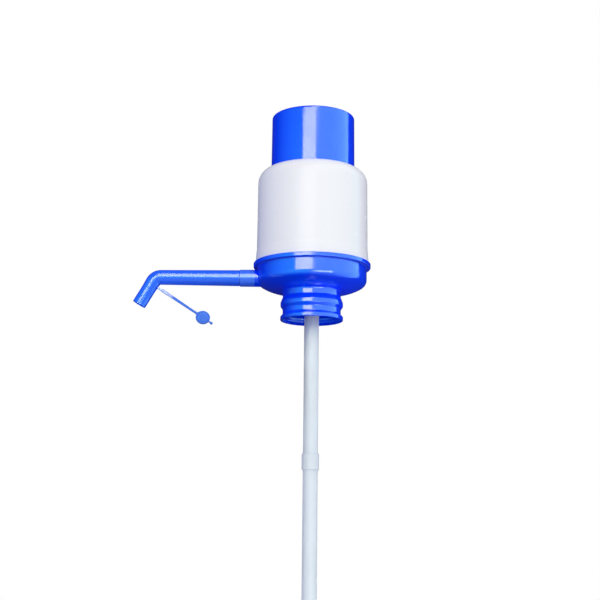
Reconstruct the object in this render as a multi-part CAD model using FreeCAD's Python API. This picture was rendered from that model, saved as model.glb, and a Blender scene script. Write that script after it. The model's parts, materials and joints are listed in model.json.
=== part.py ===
import FreeCAD, Part
import math
import os

# A hand pump that stands on the neck of a water jug. Pressing the cap squeezes a bellows, which drives
# air through the base into the jug, and the pressure lifts water up the dip tube and out of the spout.
#
# Millimetres. +Z is up along the pump's axis. The origin is the centre of the jug's mouth, on the plane
# of its rim, where the neck gasket seals. The spout points along -X.

V = FreeCAD.Vector
ORIGIN = V(0, 0, 0)
X_AXIS = V(1, 0, 0)
Y_AXIS = V(0, 1, 0)
Z_AXIS = V(0, 0, 1)
FULL_TURN = 360.0

# ---------------------------------------------------------------- clearances
SLIP = 0.15              # radial gap where one moulding drops into another
TUBE_FIT = 0.05          # radial gap of a soft tube on its spigot or in its joiner
SPIN_FIT = 0.08          # radial gap of the spout's socket on its nipple
PIN_FIT = 0.05           # radial gap of the tether's ear on its pin
THREAD_FIT = 0.05        # radial gap between a screw and its pilot hole
HOLE_FIT = 0.3           # radial gap between a screw and a hole that it only passes
END_GAP = 0.3            # axial gap between a moving piece and what stops it

# ---------------------------------------------------------------- housing
HOUSING_R = 53.5         # outer radius above the skirt
HOUSING_TOP = 123.5      # height of the mouth that the cap slides in
HOUSING_WALL = 2.2
HOUSING_DRAFT = 0.3      # how much slimmer the shell is at the shoulder than above the skirt
SHOULDER_R = 14.0
ROOF_SLOPE = 10.0        # degrees that the roof falls from the mouth to the shoulder
SKIRT_TOP = 42.3
SKIRT_STEP = 0.25
SKIRT_FLARE = 0.85       # how far the skirt's foot stands out past its own top
MOUTH_LIP_DEPTH = 6.0    # from the mouth down to the end of the guide ring inside it
MOUTH_LIP_WALL = 2.0
MOUTH_EDGE = 0.6

# ---------------------------------------------------------------- base
LEDGE_Z = 28.9           # flat that the housing stands on
BEAD_OVERHANG = 1.9      # the bead stands out past the housing's foot
BEAD_RISE = 1.0          # from the flat up to the bead's top, which rings the housing's foot
BEAD_DROP = 2.8          # from the flat down to the bead's underside
BEAD_ROUND = 0.5
BEAD_EDGE = 0.3          # of the bead's inner edge and of the corner under it
BOWL_INSET = 0.8         # bowl's radius below the housing's
BOWL_BOTTOM = 3.6
BOWL_WALL = 2.2
BOWL_TURN_Z = 10.2       # height where the wall would meet the sloping bottom
BOWL_TURN_R = 7.0
BOWL_SLOPE_RUN = 12.0    # how far in from the wall the sloping bottom would turn level
BOWL_SLOPE_R = 30.0
FLOOR_UNDER = 2.5        # where the gasket seats
FLOOR_TOP = 4.9
SPIGOT_WALL = 2.0
SPIGOT_HEIGHT = 8.6
LEDGE_INSET = 2.8        # width of the ledge that carries the deck's seal
LUG_COUNT = 3
LUG_ARC = 20.0           # degrees
LUG_RISE = 4.3           # from the ledge up to the lugs
LUG_HEIGHT = 2.6
LUG_DEPTH = 1.0
LUG_GAP = 0.3
LUG_WAY_PLAY = 4.0       # degrees that the way in is wider than its lug

# ---------------------------------------------------------------- ribbed collar on the jug's neck
COLLAR_WALL = 1.6
COLLAR_WAIST_R = 27.9
COLLAR_RIB_OUT = 2.1     # how far the rib and the lip stand out from the waist
COLLAR_LIP_OUT = 2.2
COLLAR_TOP_ROUND = 2.4
COLLAR_RIB_ROUND = 1.2
COLLAR_WAIST_ROUND = 1.8
COLLAR_RIB_START = -3.0  # heights of the corners down the collar
COLLAR_RIB_TOP = -8.2
COLLAR_RIB_FOOT = -11.8
COLLAR_RIB_END = -14.8
COLLAR_FLARE_START = -19.4
COLLAR_FLARE_END = -21.9
COLLAR_BOTTOM = -25.4
GASKET_WIDTH = 6.3       # from the collar's wall inward

# ---------------------------------------------------------------- air and water passages in the base
AXIS_Z = 15.7            # height of the spout's axis
WATER_BORE_R = 4.0
ELBOW_WALL = 3.0
ELBOW_SHOULDER_W = 0.6   # how far the neck in the floor stands out past the dip tube
ELBOW_FLANGE_W = 3.4
ELBOW_FLANGE_T = 2.2
ELBOW_SOCKET_DEPTH = 9.0
ELBOW_RIM = 0.3          # bead round the socket's mouth
ELBOW_EDGE = 0.6
TUBE_SPIGOT_LENGTH = 15.5
TUBE_SEAT_Z = 1.5        # shoulder that the dip tube butts on
AIR_HOLE_R = 2.5
AIR_HOLE_INSET = 0.5     # from the elbow's flange to an air hole's edge
AIR_HOLE_COUNT = 4
PORT_BOSS_LENGTH = 2.5   # outside the bowl's wall
PORT_PAD_R = 8.7         # flat pad inside the wall
PORT_PAD_DEPTH = 7.7     # from the bowl's outer radius to the pad's face

# ---------------------------------------------------------------- outlet nipple
NIPPLE_NECK_R = 5.4      # through the bowl's wall
NIPPLE_SPIGOT_R = 6.2    # that the spout turns on
NIPPLE_BARREL_STEP = 0.5  # how far the barrel stands out past the spout
NIPPLE_BARREL_LENGTH = 14.1
NIPPLE_SPIGOT_LENGTH = 14.7
NIPPLE_EDGE = 0.35
WASHER_T = 1.2
WASHER_R = 6.6
NUT_T = 3.0
NUT_ACROSS_FLATS = 13.5
O_RING_SECTION_R = 0.62
O_RING_SQUEEZE_GAP = 0.04
O_RING_FROM_SHOULDER = 8.7
NECK_IN_SOCKET_GAP = 0.5

# ---------------------------------------------------------------- spout
SPOUT_REACH = 150.4      # from the pump's axis to the corner of the bend
SPOUT_ROOT_WALL = 1.45   # round the socket
SPOUT_BEND_WALL = 1.65
SPOUT_BORE_R = 5.5
BEND_ANGLE = 60.0
BEND_INNER_R = 1.35      # of the fold on the bend's inner side
NOZZLE_LENGTH = 30.9     # from the corner of the bend to the mouth
NOZZLE_WALL = 1.25
NOZZLE_TIP_LENGTH = 17.0  # the straight round end that a hose can grip
NOZZLE_EDGE = 0.4

# ---------------------------------------------------------------- tether and dust cap
EAR_FROM_BEND = 7.9      # along the nozzle, from the corner of the bend
EAR_REACH = 5.85         # from the nozzle's skin to the pin
EAR_ROOT_WIDTH = 4.4
EAR_TIP_R = 1.5
EAR_T = 1.5
TETHER_PIN_R = 0.7
TETHER_PIN_HEAD_R = 1.05
TETHER_PIN_HEAD_T = 0.4
TETHER_DROP = 33.3       # degrees below level
TETHER_LENGTH = 38.5     # from the pin to the cap's hinge line
TETHER_ROOT_WIDTH = 3.0
TETHER_END_WIDTH = 2.1
TETHER_T = 1.8
FORK_T = 3.8
FORK_LENGTH = 5.5
FORK_SLOT_DEPTH = 2.5
CAP_TWIST = 20.0         # degrees that the dust cap leans round its tether
CAP_OVERHANG = 0.1       # how far the dust cap stands out past the nozzle
CAP_T = 2.2
CAP_EDGE = 0.35
CAP_HINGE_WIDTH = 2.6
CAP_HINGE_REACH = 0.9    # from the hinge line to the disc
PLUG_LENGTH = 3.2
PLUG_WALL = 1.2
PLUG_TAPER = 0.3
PULL_TAB_R = 1.35
PULL_TAB_T = 1.5
PULL_NECK_LENGTH = 1.6
PULL_NECK_WIDTH = 1.3

# ---------------------------------------------------------------- valve deck
DECK_T = 3.0
DECK_DROP = 2.9          # from the flat that the housing stands on down to the deck's underside
SEAL_T = 1.5
SEAL_INSET = 1.0         # seal's inner edge, outward of the ledge's
DECK_SCREW_COUNT = 4
DECK_SCREW_ANGLE = 45.0
DECK_BOSS_R = 3.4
BOSS_INTO_LEDGE = 0.6
PILOT_DEPTH = 12.0
FLAP_R = 11.0
FLAP_T = 1.0
FLAP_STEM_R = 1.5
FLAP_BULB_R = 2.6
FLAP_BULB_TIP_R = 1.2
FLAP_BULB_LENGTH = 2.8
FLAP_TRAVEL = 1.2
SEAT_HOLE_R = 1.7
SEAT_HOLE_COUNT = 6
SEAT_HOLE_PCD_R = 6.5

# ---------------------------------------------------------------- bellows
BELLOWS_SIDE_GAP = 4.8   # between the folds and the press cap
BELLOWS_FOLD_DEPTH = 7.5
BELLOWS_WALL = 1.8       # measured level, across a sloping fold
BELLOWS_FOLDS = 10
BELLOWS_FLANGE_T = 1.6
BELLOWS_FLANGE_W = 5.5   # past the folds
BELLOWS_TOP_W = 14.0     # width of the top flange
CLAMP_T = 2.5
CLAMP_SCREW_COUNT = 4
CLAMP_SCREW_INSET = 2.4

# ---------------------------------------------------------------- press cap
PRESS_R = 40.4           # at the top
PRESS_DRAFT = 0.3
PRESS_WALL = 2.0
PRESS_TOP_T = 2.2
PRESS_EDGE = 1.8
PRESS_RIM_W = 6.8        # round the dished top
PRESS_DISH_DEPTH = 0.7
PRESS_TRAVEL = 42.0
PRESS_PROUD = 12.0       # what still stands above the mouth when the cap is pressed home
PRESS_SIDE_GAP = 0.9
FLANGE_T = 2.5
FLANGE_W = 3.5
POST_R = 3.4
POST_COUNT = 3
POST_ANGLE = 90.0
PLATE_T = 2.5
PLATE_INSET = 1.5        # plate's radius below the folds'
PLATE_DROP = 17.0        # from the cap's top to the top of the bellows plate
TOP_CLAMP_T = 2.2
TOP_CLAMP_W = 7.0

# ---------------------------------------------------------------- dip tube
TUBE_R = 7.0
TUBE_WALL = 1.2
TUBE_SECTION = 161.0     # from one joint to the next
TUBE_SECTIONS = 3
TUBE_SQUEEZE = 0.25      # how much slimmer a section is where its joiner grips it
JOINER_WALL = 1.4
JOINER_LENGTH = 15.5
JOINER_STOP_T = 1.4
FOOT_SLOT_WIDTH = 5.0
FOOT_SLOT_HEIGHT = 6.0

# ---------------------------------------------------------------- screws
# radius of the head, height of the head, radius of the shank
M3_SCREW = (3.0, 1.9, 1.5)
SMALL_SCREW = (2.3, 1.5, 1.1)
DRIVE_WIDTH = 0.9
DRIVE_DEPTH = 0.8
DRIVE_SPAN = 1.1         # length of the cross's arms, in radii of the head

# ---------------------------------------------------------------- places that follow from the sizes above
HOUSING_BORE_R = HOUSING_R - HOUSING_WALL
FOOT_R = HOUSING_R + SKIRT_STEP + SKIRT_FLARE
BEAD_R = FOOT_R + BEAD_OVERHANG
BOWL_R = HOUSING_R - BOWL_INSET
SPIGOT_R = HOUSING_BORE_R - SLIP
SPIGOT_TOP = LEDGE_Z + SPIGOT_HEIGHT
LUG_Z = LEDGE_Z + LUG_RISE
POCKET_R = SPIGOT_R - SPIGOT_WALL
LEDGE_R = POCKET_R - LEDGE_INSET
DECK_R = POCKET_R - SLIP
DECK_UNDER = LEDGE_Z - DECK_DROP
DECK_TOP = DECK_UNDER + DECK_T
SEAL_UNDER = DECK_UNDER - SEAL_T
DECK_SCREW_PCD_R = LEDGE_R + BOSS_INTO_LEDGE - DECK_BOSS_R
NECK_R = COLLAR_WAIST_R - COLLAR_WALL
COLLAR_RIB_R = COLLAR_WAIST_R + COLLAR_RIB_OUT
COLLAR_LIP_R = COLLAR_WAIST_R + COLLAR_LIP_OUT
GASKET_BORE_R = NECK_R - GASKET_WIDTH

MOUTH_R = PRESS_R + PRESS_DRAFT + PRESS_SIDE_GAP
LIP_END_Z = HOUSING_TOP - MOUTH_LIP_DEPTH
PRESS_TOP = HOUSING_TOP + PRESS_TRAVEL + PRESS_PROUD
PRESS_FOOT_R = PRESS_R + PRESS_DRAFT
PRESS_BORE_R = PRESS_R - PRESS_WALL
FLANGE_TOP = LIP_END_Z - END_GAP
PRESS_BOTTOM = FLANGE_TOP - FLANGE_T
PLATE_TOP = PRESS_TOP - PLATE_DROP
PLATE_UNDER = PLATE_TOP - PLATE_T

BELLOWS_R = PRESS_BORE_R - BELLOWS_SIDE_GAP
PLATE_R = BELLOWS_R - PLATE_INSET
BELLOWS_TOP_BORE_R = BELLOWS_R - BELLOWS_TOP_W
POST_PCD_R = BELLOWS_TOP_BORE_R + TOP_CLAMP_W / 2
BELLOWS_ROOT_R = BELLOWS_R - BELLOWS_FOLD_DEPTH
FOLDS_BOTTOM = DECK_TOP + BELLOWS_FLANGE_T
FOLDS_TOP = PLATE_UNDER - BELLOWS_FLANGE_T
CLAMP_R = BELLOWS_R + BELLOWS_FLANGE_W
CLAMP_TOP = FOLDS_BOTTOM + CLAMP_T
CLAMP_SCREW_PCD_R = CLAMP_R - CLAMP_SCREW_INSET
TOP_CLAMP_UNDER = FOLDS_TOP - TOP_CLAMP_T

TUBE_BORE_R = TUBE_R - TUBE_WALL
SPIGOT_TUBE_R = TUBE_BORE_R - TUBE_FIT
GRIPPED_TUBE_R = TUBE_R - TUBE_SQUEEZE
JOINER_SOCKET_R = GRIPPED_TUBE_R + TUBE_FIT
ELBOW_R = WATER_BORE_R + ELBOW_WALL
ELBOW_NECK_R = TUBE_R + ELBOW_SHOULDER_W
ELBOW_FLANGE_R = ELBOW_NECK_R + ELBOW_FLANGE_W
AIR_HOLE_PCD_R = ELBOW_FLANGE_R + AIR_HOLE_INSET + AIR_HOLE_R
PORT_HOLE_R = NIPPLE_NECK_R + SLIP
PORT_FACE_X = -(BOWL_R + PORT_BOSS_LENGTH)
PAD_FACE_X = -(BOWL_R - PORT_PAD_DEPTH)
ELBOW_REACH = -PAD_FACE_X - WASHER_T - NUT_T - NECK_IN_SOCKET_GAP
SHOULDER_X = PORT_FACE_X - NIPPLE_BARREL_LENGTH
NIPPLE_END_X = SHOULDER_X - NIPPLE_SPIGOT_LENGTH
SPOUT_ROOT_X = SHOULDER_X - END_GAP
SOCKET_R = NIPPLE_SPIGOT_R + SPIN_FIT
SPOUT_ROOT_R = SOCKET_R + SPOUT_ROOT_WALL
NIPPLE_BARREL_R = SPOUT_ROOT_R + NIPPLE_BARREL_STEP
SOCKET_END_X = NIPPLE_END_X - END_GAP

SPOUT_BEND_R = SPOUT_BORE_R + SPOUT_BEND_WALL
NOZZLE_R = SPOUT_BORE_R + NOZZLE_WALL
BEND_CENTRE_R = SPOUT_BEND_R + BEND_INNER_R
BEND_TANGENT = BEND_CENTRE_R * math.tan(math.radians(BEND_ANGLE / 2))
BEND_START = V(BEND_TANGENT - SPOUT_REACH, 0, AXIS_Z)
BEND_CORNER = V(-SPOUT_REACH, 0, AXIS_Z)
NOZZLE_DIR = V(-math.cos(math.radians(BEND_ANGLE)), 0, -math.sin(math.radians(BEND_ANGLE)))
EAR_DIR = V(-NOZZLE_DIR.z, 0, NOZZLE_DIR.x)
EAR_LENGTH = SPOUT_BEND_R + EAR_REACH
TETHER_PIN = BEND_CORNER + NOZZLE_DIR * EAR_FROM_BEND + EAR_DIR * EAR_LENGTH
TETHER_DIR = V(math.cos(math.radians(TETHER_DROP)), 0, -math.sin(math.radians(TETHER_DROP)))
TETHER_UP = V(-TETHER_DIR.z, 0, TETHER_DIR.x)
TETHER_END = TETHER_PIN + TETHER_DIR * TETHER_LENGTH
CAP_FACE_DIR = Y_AXIS * -math.cos(math.radians(CAP_TWIST)) + TETHER_UP * math.sin(math.radians(CAP_TWIST))
CAP_SIDE_DIR = CAP_FACE_DIR.cross(TETHER_DIR)
CAP_R = NOZZLE_R + CAP_OVERHANG
PULL_TAB_REACH = CAP_R + PULL_NECK_LENGTH + PULL_TAB_R
CAP_CENTRE = TETHER_END + TETHER_DIR * (END_GAP + CAP_HINGE_REACH + CAP_R)


# ---------------------------------------------------------------- ways of making shapes
def rounded_corner(before, corner, after, radius):
    """Start, middle and end of the arc that rounds a corner of an outline."""
    back = (before - corner).normalize()
    ahead = (after - corner).normalize()
    half = back.getAngle(ahead) / 2
    reach = radius / math.tan(half)
    inward = (back + ahead).normalize()
    centre = corner + inward * (radius / math.sin(half))
    return corner + back * reach, centre - inward * radius, corner + ahead * reach


def outline(corners):
    """Flat face in the XZ plane. A corner is (x, z) or (x, z, radius of its rounding)."""
    points = [V(corner[0], 0, corner[1]) for corner in corners]
    edges = []
    stops = []
    for i, corner in enumerate(corners):
        if len(corner) == 3:
            after = points[(i + 1) % len(points)]
            start, middle, end = rounded_corner(points[i - 1], points[i], after, corner[2])
            edges.append(Part.Arc(start, middle, end).toShape())
            stops.append((start, end))
        else:
            stops.append((points[i], points[i]))
    for i, (_, end) in enumerate(stops):
        start = stops[(i + 1) % len(stops)][0]
        if end.distanceToPoint(start) > 1e-6:
            edges.append(Part.LineSegment(end, start).toShape())
    return Part.Face(Part.Wire(Part.__sortEdges__(edges)))


def turned(corners):
    """Solid of revolution about Z from an outline in radius and height."""
    return outline(corners).revolve(ORIGIN, Z_AXIS, FULL_TURN)


def ring(inner, outer, bottom, top):
    """Flat washer or plain tube about Z."""
    return turned([(inner, bottom), (outer, bottom), (outer, top), (inner, top)])


def rod(radius, start, direction, length):
    """Round bar."""
    return Part.makeCylinder(radius, length, start, direction)


def slab(corners, thickness):
    """Plate of even thickness, centred on the XZ plane."""
    face = outline(corners)
    face.translate(V(0, -thickness / 2, 0))
    return face.extrude(V(0, thickness, 0))


def placed(shape, origin, direction):
    """Shape made about Z at the origin, turned so that Z follows the direction, and moved."""
    moved = shape.copy()
    moved.Placement = FreeCAD.Placement(origin, FreeCAD.Rotation(Z_AXIS, direction))
    return moved


def framed(shape, origin, x_dir, y_dir, z_dir):
    """Shape made in its own axes, moved to an origin with those axes along the three directions."""
    matrix = FreeCAD.Matrix(
        x_dir.x, y_dir.x, z_dir.x, origin.x,
        x_dir.y, y_dir.y, z_dir.y, origin.y,
        x_dir.z, y_dir.z, z_dir.z, origin.z,
        0, 0, 0, 1)
    moved = shape.copy()
    moved.Placement = FreeCAD.Placement(matrix)
    return moved


def on_circle(radius, height, count, first_angle=0.0):
    """Points spaced evenly round Z."""
    angles = [math.radians(first_angle + FULL_TURN * i / count) for i in range(count)]
    return [V(radius * math.cos(a), radius * math.sin(a), height) for a in angles]


def drilled(shape, radius, points, depth):
    """Shape with round holes that start at the points and go down."""
    return shape.cut([rod(radius, point, -Z_AXIS, depth) for point in points])


def along_x(radius, x_from, x_to):
    """Round bar on the spout's axis, from one X down to a lower one."""
    return rod(radius, V(x_from, 0, AXIS_Z), -X_AXIS, x_from - x_to)


def screw(sizes, length, head_up=True):
    """Pan-head screw with a cross recess. Its head seats on the XY plane."""
    head_r, head_h, shank_r = sizes
    body = turned([(0, head_h), (head_r, head_h, head_h / 2), (head_r, 0), (shank_r, 0),
                   (shank_r, shank_r - length), (0, -length)])
    for turn in (0, 90):
        span = head_r * DRIVE_SPAN
        corner = V(-span / 2, -DRIVE_WIDTH / 2, head_h - DRIVE_DEPTH)
        arm = Part.makeBox(span, DRIVE_WIDTH, DRIVE_DEPTH, corner)
        arm.rotate(ORIGIN, Z_AXIS, turn)
        body = body.cut(arm)
    if not head_up:
        body.rotate(ORIGIN, X_AXIS, 180)
    return body


def copies(shape, points):
    """One node that holds the same solid at each point."""
    placed_copies = []
    for point in points:
        copy = shape.copy()
        copy.translate(point)
        placed_copies.append(copy)
    return Part.makeCompound(placed_copies)


# ---------------------------------------------------------------- base
def collar_corners(inset):
    """Outer line of the collar from its waist down, drawn in by an inset."""
    return [
        (COLLAR_WAIST_R - inset, COLLAR_RIB_START, COLLAR_WAIST_ROUND),
        (COLLAR_RIB_R - inset, COLLAR_RIB_TOP, COLLAR_WAIST_ROUND),
        (COLLAR_RIB_R - inset, COLLAR_RIB_FOOT, COLLAR_RIB_ROUND),
        (COLLAR_WAIST_R - inset, COLLAR_RIB_END, COLLAR_RIB_ROUND),
        (COLLAR_WAIST_R - inset, COLLAR_FLARE_START, COLLAR_WAIST_ROUND),
        (COLLAR_LIP_R - inset, COLLAR_FLARE_END, COLLAR_RIB_ROUND),
    ]


def bowl_corners(inset, turn_r, slope_r):
    """Bowl's wall and sloping bottom, drawn in by an inset, from the wall to the level part."""
    wall = BOWL_R - inset
    return [
        (wall, BOWL_TURN_Z + inset / 2, turn_r),
        (wall - BOWL_SLOPE_RUN + inset / 2, BOWL_BOTTOM + inset, slope_r),
    ]


def base_outside():
    """Everything inside the base's outer skin, with the deck's spigot on top."""
    bead_top = LEDGE_Z + BEAD_RISE
    bead_under = LEDGE_Z - BEAD_DROP
    corners = [
        (0, SPIGOT_TOP),
        (SPIGOT_R, SPIGOT_TOP, BEAD_ROUND),
        (SPIGOT_R, LEDGE_Z),
        (FOOT_R + SLIP, LEDGE_Z),
        (FOOT_R + SLIP, bead_top, BEAD_EDGE),
        (BEAD_R, bead_top, BEAD_ROUND),
        (BEAD_R, bead_under, BEAD_ROUND),
        (BOWL_R, bead_under, BEAD_EDGE),
    ]
    corners += bowl_corners(0, BOWL_TURN_R, BOWL_SLOPE_R)
    corners.append((COLLAR_WAIST_R, BOWL_BOTTOM, COLLAR_TOP_ROUND))
    corners += collar_corners(0)
    corners += [(COLLAR_LIP_R, COLLAR_BOTTOM, COLLAR_WALL / 2), (0, COLLAR_BOTTOM)]
    return turned(corners)


def bowl_cavity():
    """Air space under the deck, the ledge for its seal and the pocket that it drops in."""
    floor_rise = BOWL_BOTTOM + BOWL_WALL - FLOOR_TOP
    corners = [(0, FLOOR_TOP), (NECK_R, FLOOR_TOP), (NECK_R + 2 * floor_rise, FLOOR_TOP + floor_rise)]
    corners += reversed(bowl_corners(BOWL_WALL, BOWL_TURN_R - BOWL_WALL, BOWL_SLOPE_R - BOWL_WALL))
    corners += [
        (BOWL_R - BOWL_WALL, SEAL_UNDER - LEDGE_INSET - BOWL_WALL),
        (LEDGE_R, SEAL_UNDER - BOWL_WALL),
        (LEDGE_R, SEAL_UNDER),
        (POCKET_R, SEAL_UNDER),
        (POCKET_R, SPIGOT_TOP),
        (0, SPIGOT_TOP),
    ]
    return turned(corners)


def neck_cavity():
    """Space inside the collar for the jug's neck, up to the gasket's seat."""
    corners = [(0, FLOOR_UNDER), (NECK_R, FLOOR_UNDER)]
    corners += collar_corners(COLLAR_WALL)
    corners += [(COLLAR_LIP_R - COLLAR_WALL, COLLAR_BOTTOM), (0, COLLAR_BOTTOM)]
    return turned(corners)


def bayonet_lugs():
    """Lugs on the spigot that the housing twists over."""
    root_r = POCKET_R + SPIGOT_WALL / 2
    tip_r = SPIGOT_R + LUG_DEPTH
    top = LUG_Z + LUG_HEIGHT
    lug = outline([(root_r, LUG_Z), (tip_r, LUG_Z), (tip_r, top), (root_r, top)])
    lug = lug.revolve(ORIGIN, Z_AXIS, LUG_ARC)
    lugs = []
    for i in range(LUG_COUNT):
        copy = lug.copy()
        copy.rotate(ORIGIN, Z_AXIS, FULL_TURN * i / LUG_COUNT - LUG_ARC / 2)
        lugs.append(copy)
    return lugs


def deck_screw_points(height):
    return on_circle(DECK_SCREW_PCD_R, height, DECK_SCREW_COUNT, DECK_SCREW_ANGLE)


def base_bowl():
    """Bowl, bead, floor, ribbed collar, ledge and spigot: one moulding."""
    outside = base_outside()
    boss = along_x(NIPPLE_BARREL_R, PAD_FACE_X, PORT_FACE_X)
    shell = outside.fuse(boss).cut([bowl_cavity(), neck_cavity()])
    boss_height = DECK_UNDER - FLOOR_TOP
    posts = [rod(DECK_BOSS_R, point, Z_AXIS, boss_height) for point in deck_screw_points(FLOOR_TOP)]
    pad = along_x(PORT_PAD_R, PAD_FACE_X, -BOWL_R)
    inside = [piece.common(outside) for piece in posts + [pad]]
    body = shell.fuse(inside + bayonet_lugs())
    port = along_x(PORT_HOLE_R, -LEDGE_R + LEDGE_INSET, PORT_FACE_X - END_GAP)
    neck_hole = rod(ELBOW_NECK_R + SLIP, V(0, 0, FLOOR_TOP + SLIP), -Z_AXIS, FLOOR_TOP)
    body = body.cut([port, neck_hole])
    air_holes = on_circle(AIR_HOLE_PCD_R, FLOOR_TOP + SLIP, AIR_HOLE_COUNT, DECK_SCREW_ANGLE)
    body = drilled(body, AIR_HOLE_R, air_holes, FLOOR_TOP)
    pilot_r = M3_SCREW[2] + THREAD_FIT
    return drilled(body, pilot_r, deck_screw_points(DECK_UNDER), PILOT_DEPTH)


def neck_gasket():
    """Soft ring between the floor and the jug's rim, which also grips the collar's wall."""
    return ring(GASKET_BORE_R, NECK_R - SLIP, 0, FLOOR_UNDER)


# ---------------------------------------------------------------- water way
def water_elbow():
    """Elbow on the bowl's floor: spigot for the dip tube below, socket for the nipple at its mouth."""
    spigot_end = TUBE_SEAT_Z - TUBE_SPIGOT_LENGTH
    stem = turned([
        (0, spigot_end), (SPIGOT_TUBE_R, spigot_end, ELBOW_EDGE), (SPIGOT_TUBE_R, TUBE_SEAT_Z),
        (ELBOW_NECK_R, TUBE_SEAT_Z), (ELBOW_NECK_R, FLOOR_TOP), (ELBOW_FLANGE_R, FLOOR_TOP),
        (ELBOW_FLANGE_R, FLOOR_TOP + ELBOW_FLANGE_T, ELBOW_EDGE), (ELBOW_R, FLOOR_TOP + ELBOW_FLANGE_T),
        (ELBOW_R, AXIS_Z), (0, AXIS_Z),
    ])
    knee = Part.makeSphere(ELBOW_R, V(0, 0, AXIS_Z))
    branch = along_x(ELBOW_R, 0, -ELBOW_REACH)
    mouth = along_x(ELBOW_R + ELBOW_RIM, ELBOW_SOCKET_DEPTH - ELBOW_REACH, -ELBOW_REACH)
    body = stem.fuse([knee, branch, mouth])
    socket = along_x(NIPPLE_NECK_R + TUBE_FIT, ELBOW_SOCKET_DEPTH - ELBOW_REACH, -ELBOW_REACH)
    bores = [
        rod(WATER_BORE_R, V(0, 0, AXIS_Z), -Z_AXIS, AXIS_Z - spigot_end),
        Part.makeSphere(WATER_BORE_R, V(0, 0, AXIS_Z)),
        along_x(WATER_BORE_R, 0, -ELBOW_REACH),
        socket,
    ]
    return body.cut(bores)


def outlet_nipple():
    """Bulkhead fitting: neck through the port, barrel outside, grooved spigot for the spout."""
    neck_end = ELBOW_SOCKET_DEPTH - ELBOW_REACH - NECK_IN_SOCKET_GAP
    groove_half = O_RING_SECTION_R + TUBE_FIT
    groove_start = O_RING_FROM_SHOULDER - groove_half
    groove_end = O_RING_FROM_SHOULDER + groove_half
    groove_r = SOCKET_R - 2 * (O_RING_SQUEEZE_GAP + O_RING_SECTION_R)
    # outline in radius and distance from the barrel's outer end, later laid along -X
    neck_top = SHOULDER_X - neck_end
    barrel_top = -NIPPLE_BARREL_LENGTH
    body = turned([
        (0, neck_top), (NIPPLE_NECK_R, neck_top), (NIPPLE_NECK_R, barrel_top), (NIPPLE_BARREL_R, barrel_top),
        (NIPPLE_BARREL_R, 0, NIPPLE_EDGE), (NIPPLE_SPIGOT_R, 0), (NIPPLE_SPIGOT_R, groove_start),
        (groove_r, groove_start), (groove_r, groove_end),
        (NIPPLE_SPIGOT_R, groove_end), (NIPPLE_SPIGOT_R, NIPPLE_SPIGOT_LENGTH, NIPPLE_EDGE),
        (0, NIPPLE_SPIGOT_LENGTH),
    ])
    body = placed(body, V(SHOULDER_X, 0, AXIS_Z), -X_AXIS)
    return body.cut(along_x(WATER_BORE_R, 0, NIPPLE_END_X - END_GAP))


def nipple_nut():
    """Hexagonal nut that pulls the nipple against the bowl's wall."""
    corner_r = NUT_ACROSS_FLATS / 2 / math.cos(math.radians(30))
    points = on_circle(corner_r, 0, 6)
    hexagon = Part.Face(Part.makePolygon(points + points[:1])).extrude(V(0, 0, NUT_T))
    hexagon = placed(hexagon, V(PAD_FACE_X + WASHER_T + NUT_T, 0, AXIS_Z), -X_AXIS)
    hexagon.rotate(V(0, 0, AXIS_Z), X_AXIS, 30)
    return hexagon.cut(along_x(NIPPLE_NECK_R + THREAD_FIT, 0, -BOWL_R))


def port_washer():
    """Rubber washer between the nut and the pad inside the wall."""
    washer = along_x(WASHER_R, PAD_FACE_X + WASHER_T, PAD_FACE_X)
    return washer.cut(along_x(NIPPLE_NECK_R + THREAD_FIT, 0, -BOWL_R))


def spout_o_ring():
    """Round seal in the nipple's groove."""
    centre_r = SOCKET_R - O_RING_SQUEEZE_GAP - O_RING_SECTION_R
    centre = V(SHOULDER_X - O_RING_FROM_SHOULDER, 0, AXIS_Z)
    return Part.makeTorus(centre_r, O_RING_SECTION_R, centre, X_AXIS)


# ---------------------------------------------------------------- valve deck
def valve_seat(top, thickness, radius):
    """Disc with a stem hole and a ring of ports for a flap valve."""
    start = top + SLIP
    through = thickness + 2 * SLIP
    disc = drilled(ring(0, radius, top - thickness, top), FLAP_STEM_R + SLIP, [V(0, 0, start)], through)
    return drilled(disc, SEAT_HOLE_R, on_circle(SEAT_HOLE_PCD_R, start, SEAT_HOLE_COUNT), through)


def valve_deck():
    """Disc that closes the bowl, carries the bellows and holds the outlet valve."""
    disc = valve_seat(DECK_TOP, DECK_T, DECK_R)
    disc = drilled(disc, M3_SCREW[2] + HOLE_FIT, deck_screw_points(DECK_TOP), DECK_T)
    return drilled(disc, SMALL_SCREW[2] + THREAD_FIT, clamp_screw_points(DECK_TOP), DECK_T)


def deck_seal():
    """Flat rubber ring between the ledge and the deck."""
    return ring(LEDGE_R + SEAL_INSET, DECK_R, SEAL_UNDER, DECK_UNDER)


def deck_screws():
    screw_length = DECK_T + PILOT_DEPTH - END_GAP
    return copies(screw(M3_SCREW, screw_length), deck_screw_points(DECK_TOP))


def flap_valve(seat_under, seat_t):
    """Mushroom of soft rubber: a disc under its seat and a bulb above that keeps it there."""
    bulb = seat_under + seat_t + FLAP_TRAVEL + SLIP
    return turned([
        (0, seat_under - FLAP_T), (FLAP_R, seat_under - FLAP_T, FLAP_T / 3), (FLAP_R, seat_under),
        (FLAP_STEM_R, seat_under), (FLAP_STEM_R, bulb), (FLAP_BULB_R, bulb),
        (FLAP_BULB_TIP_R, bulb + FLAP_BULB_LENGTH), (0, bulb + FLAP_BULB_LENGTH),
    ])


def outlet_flap():
    return flap_valve(DECK_UNDER, DECK_T)


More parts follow.
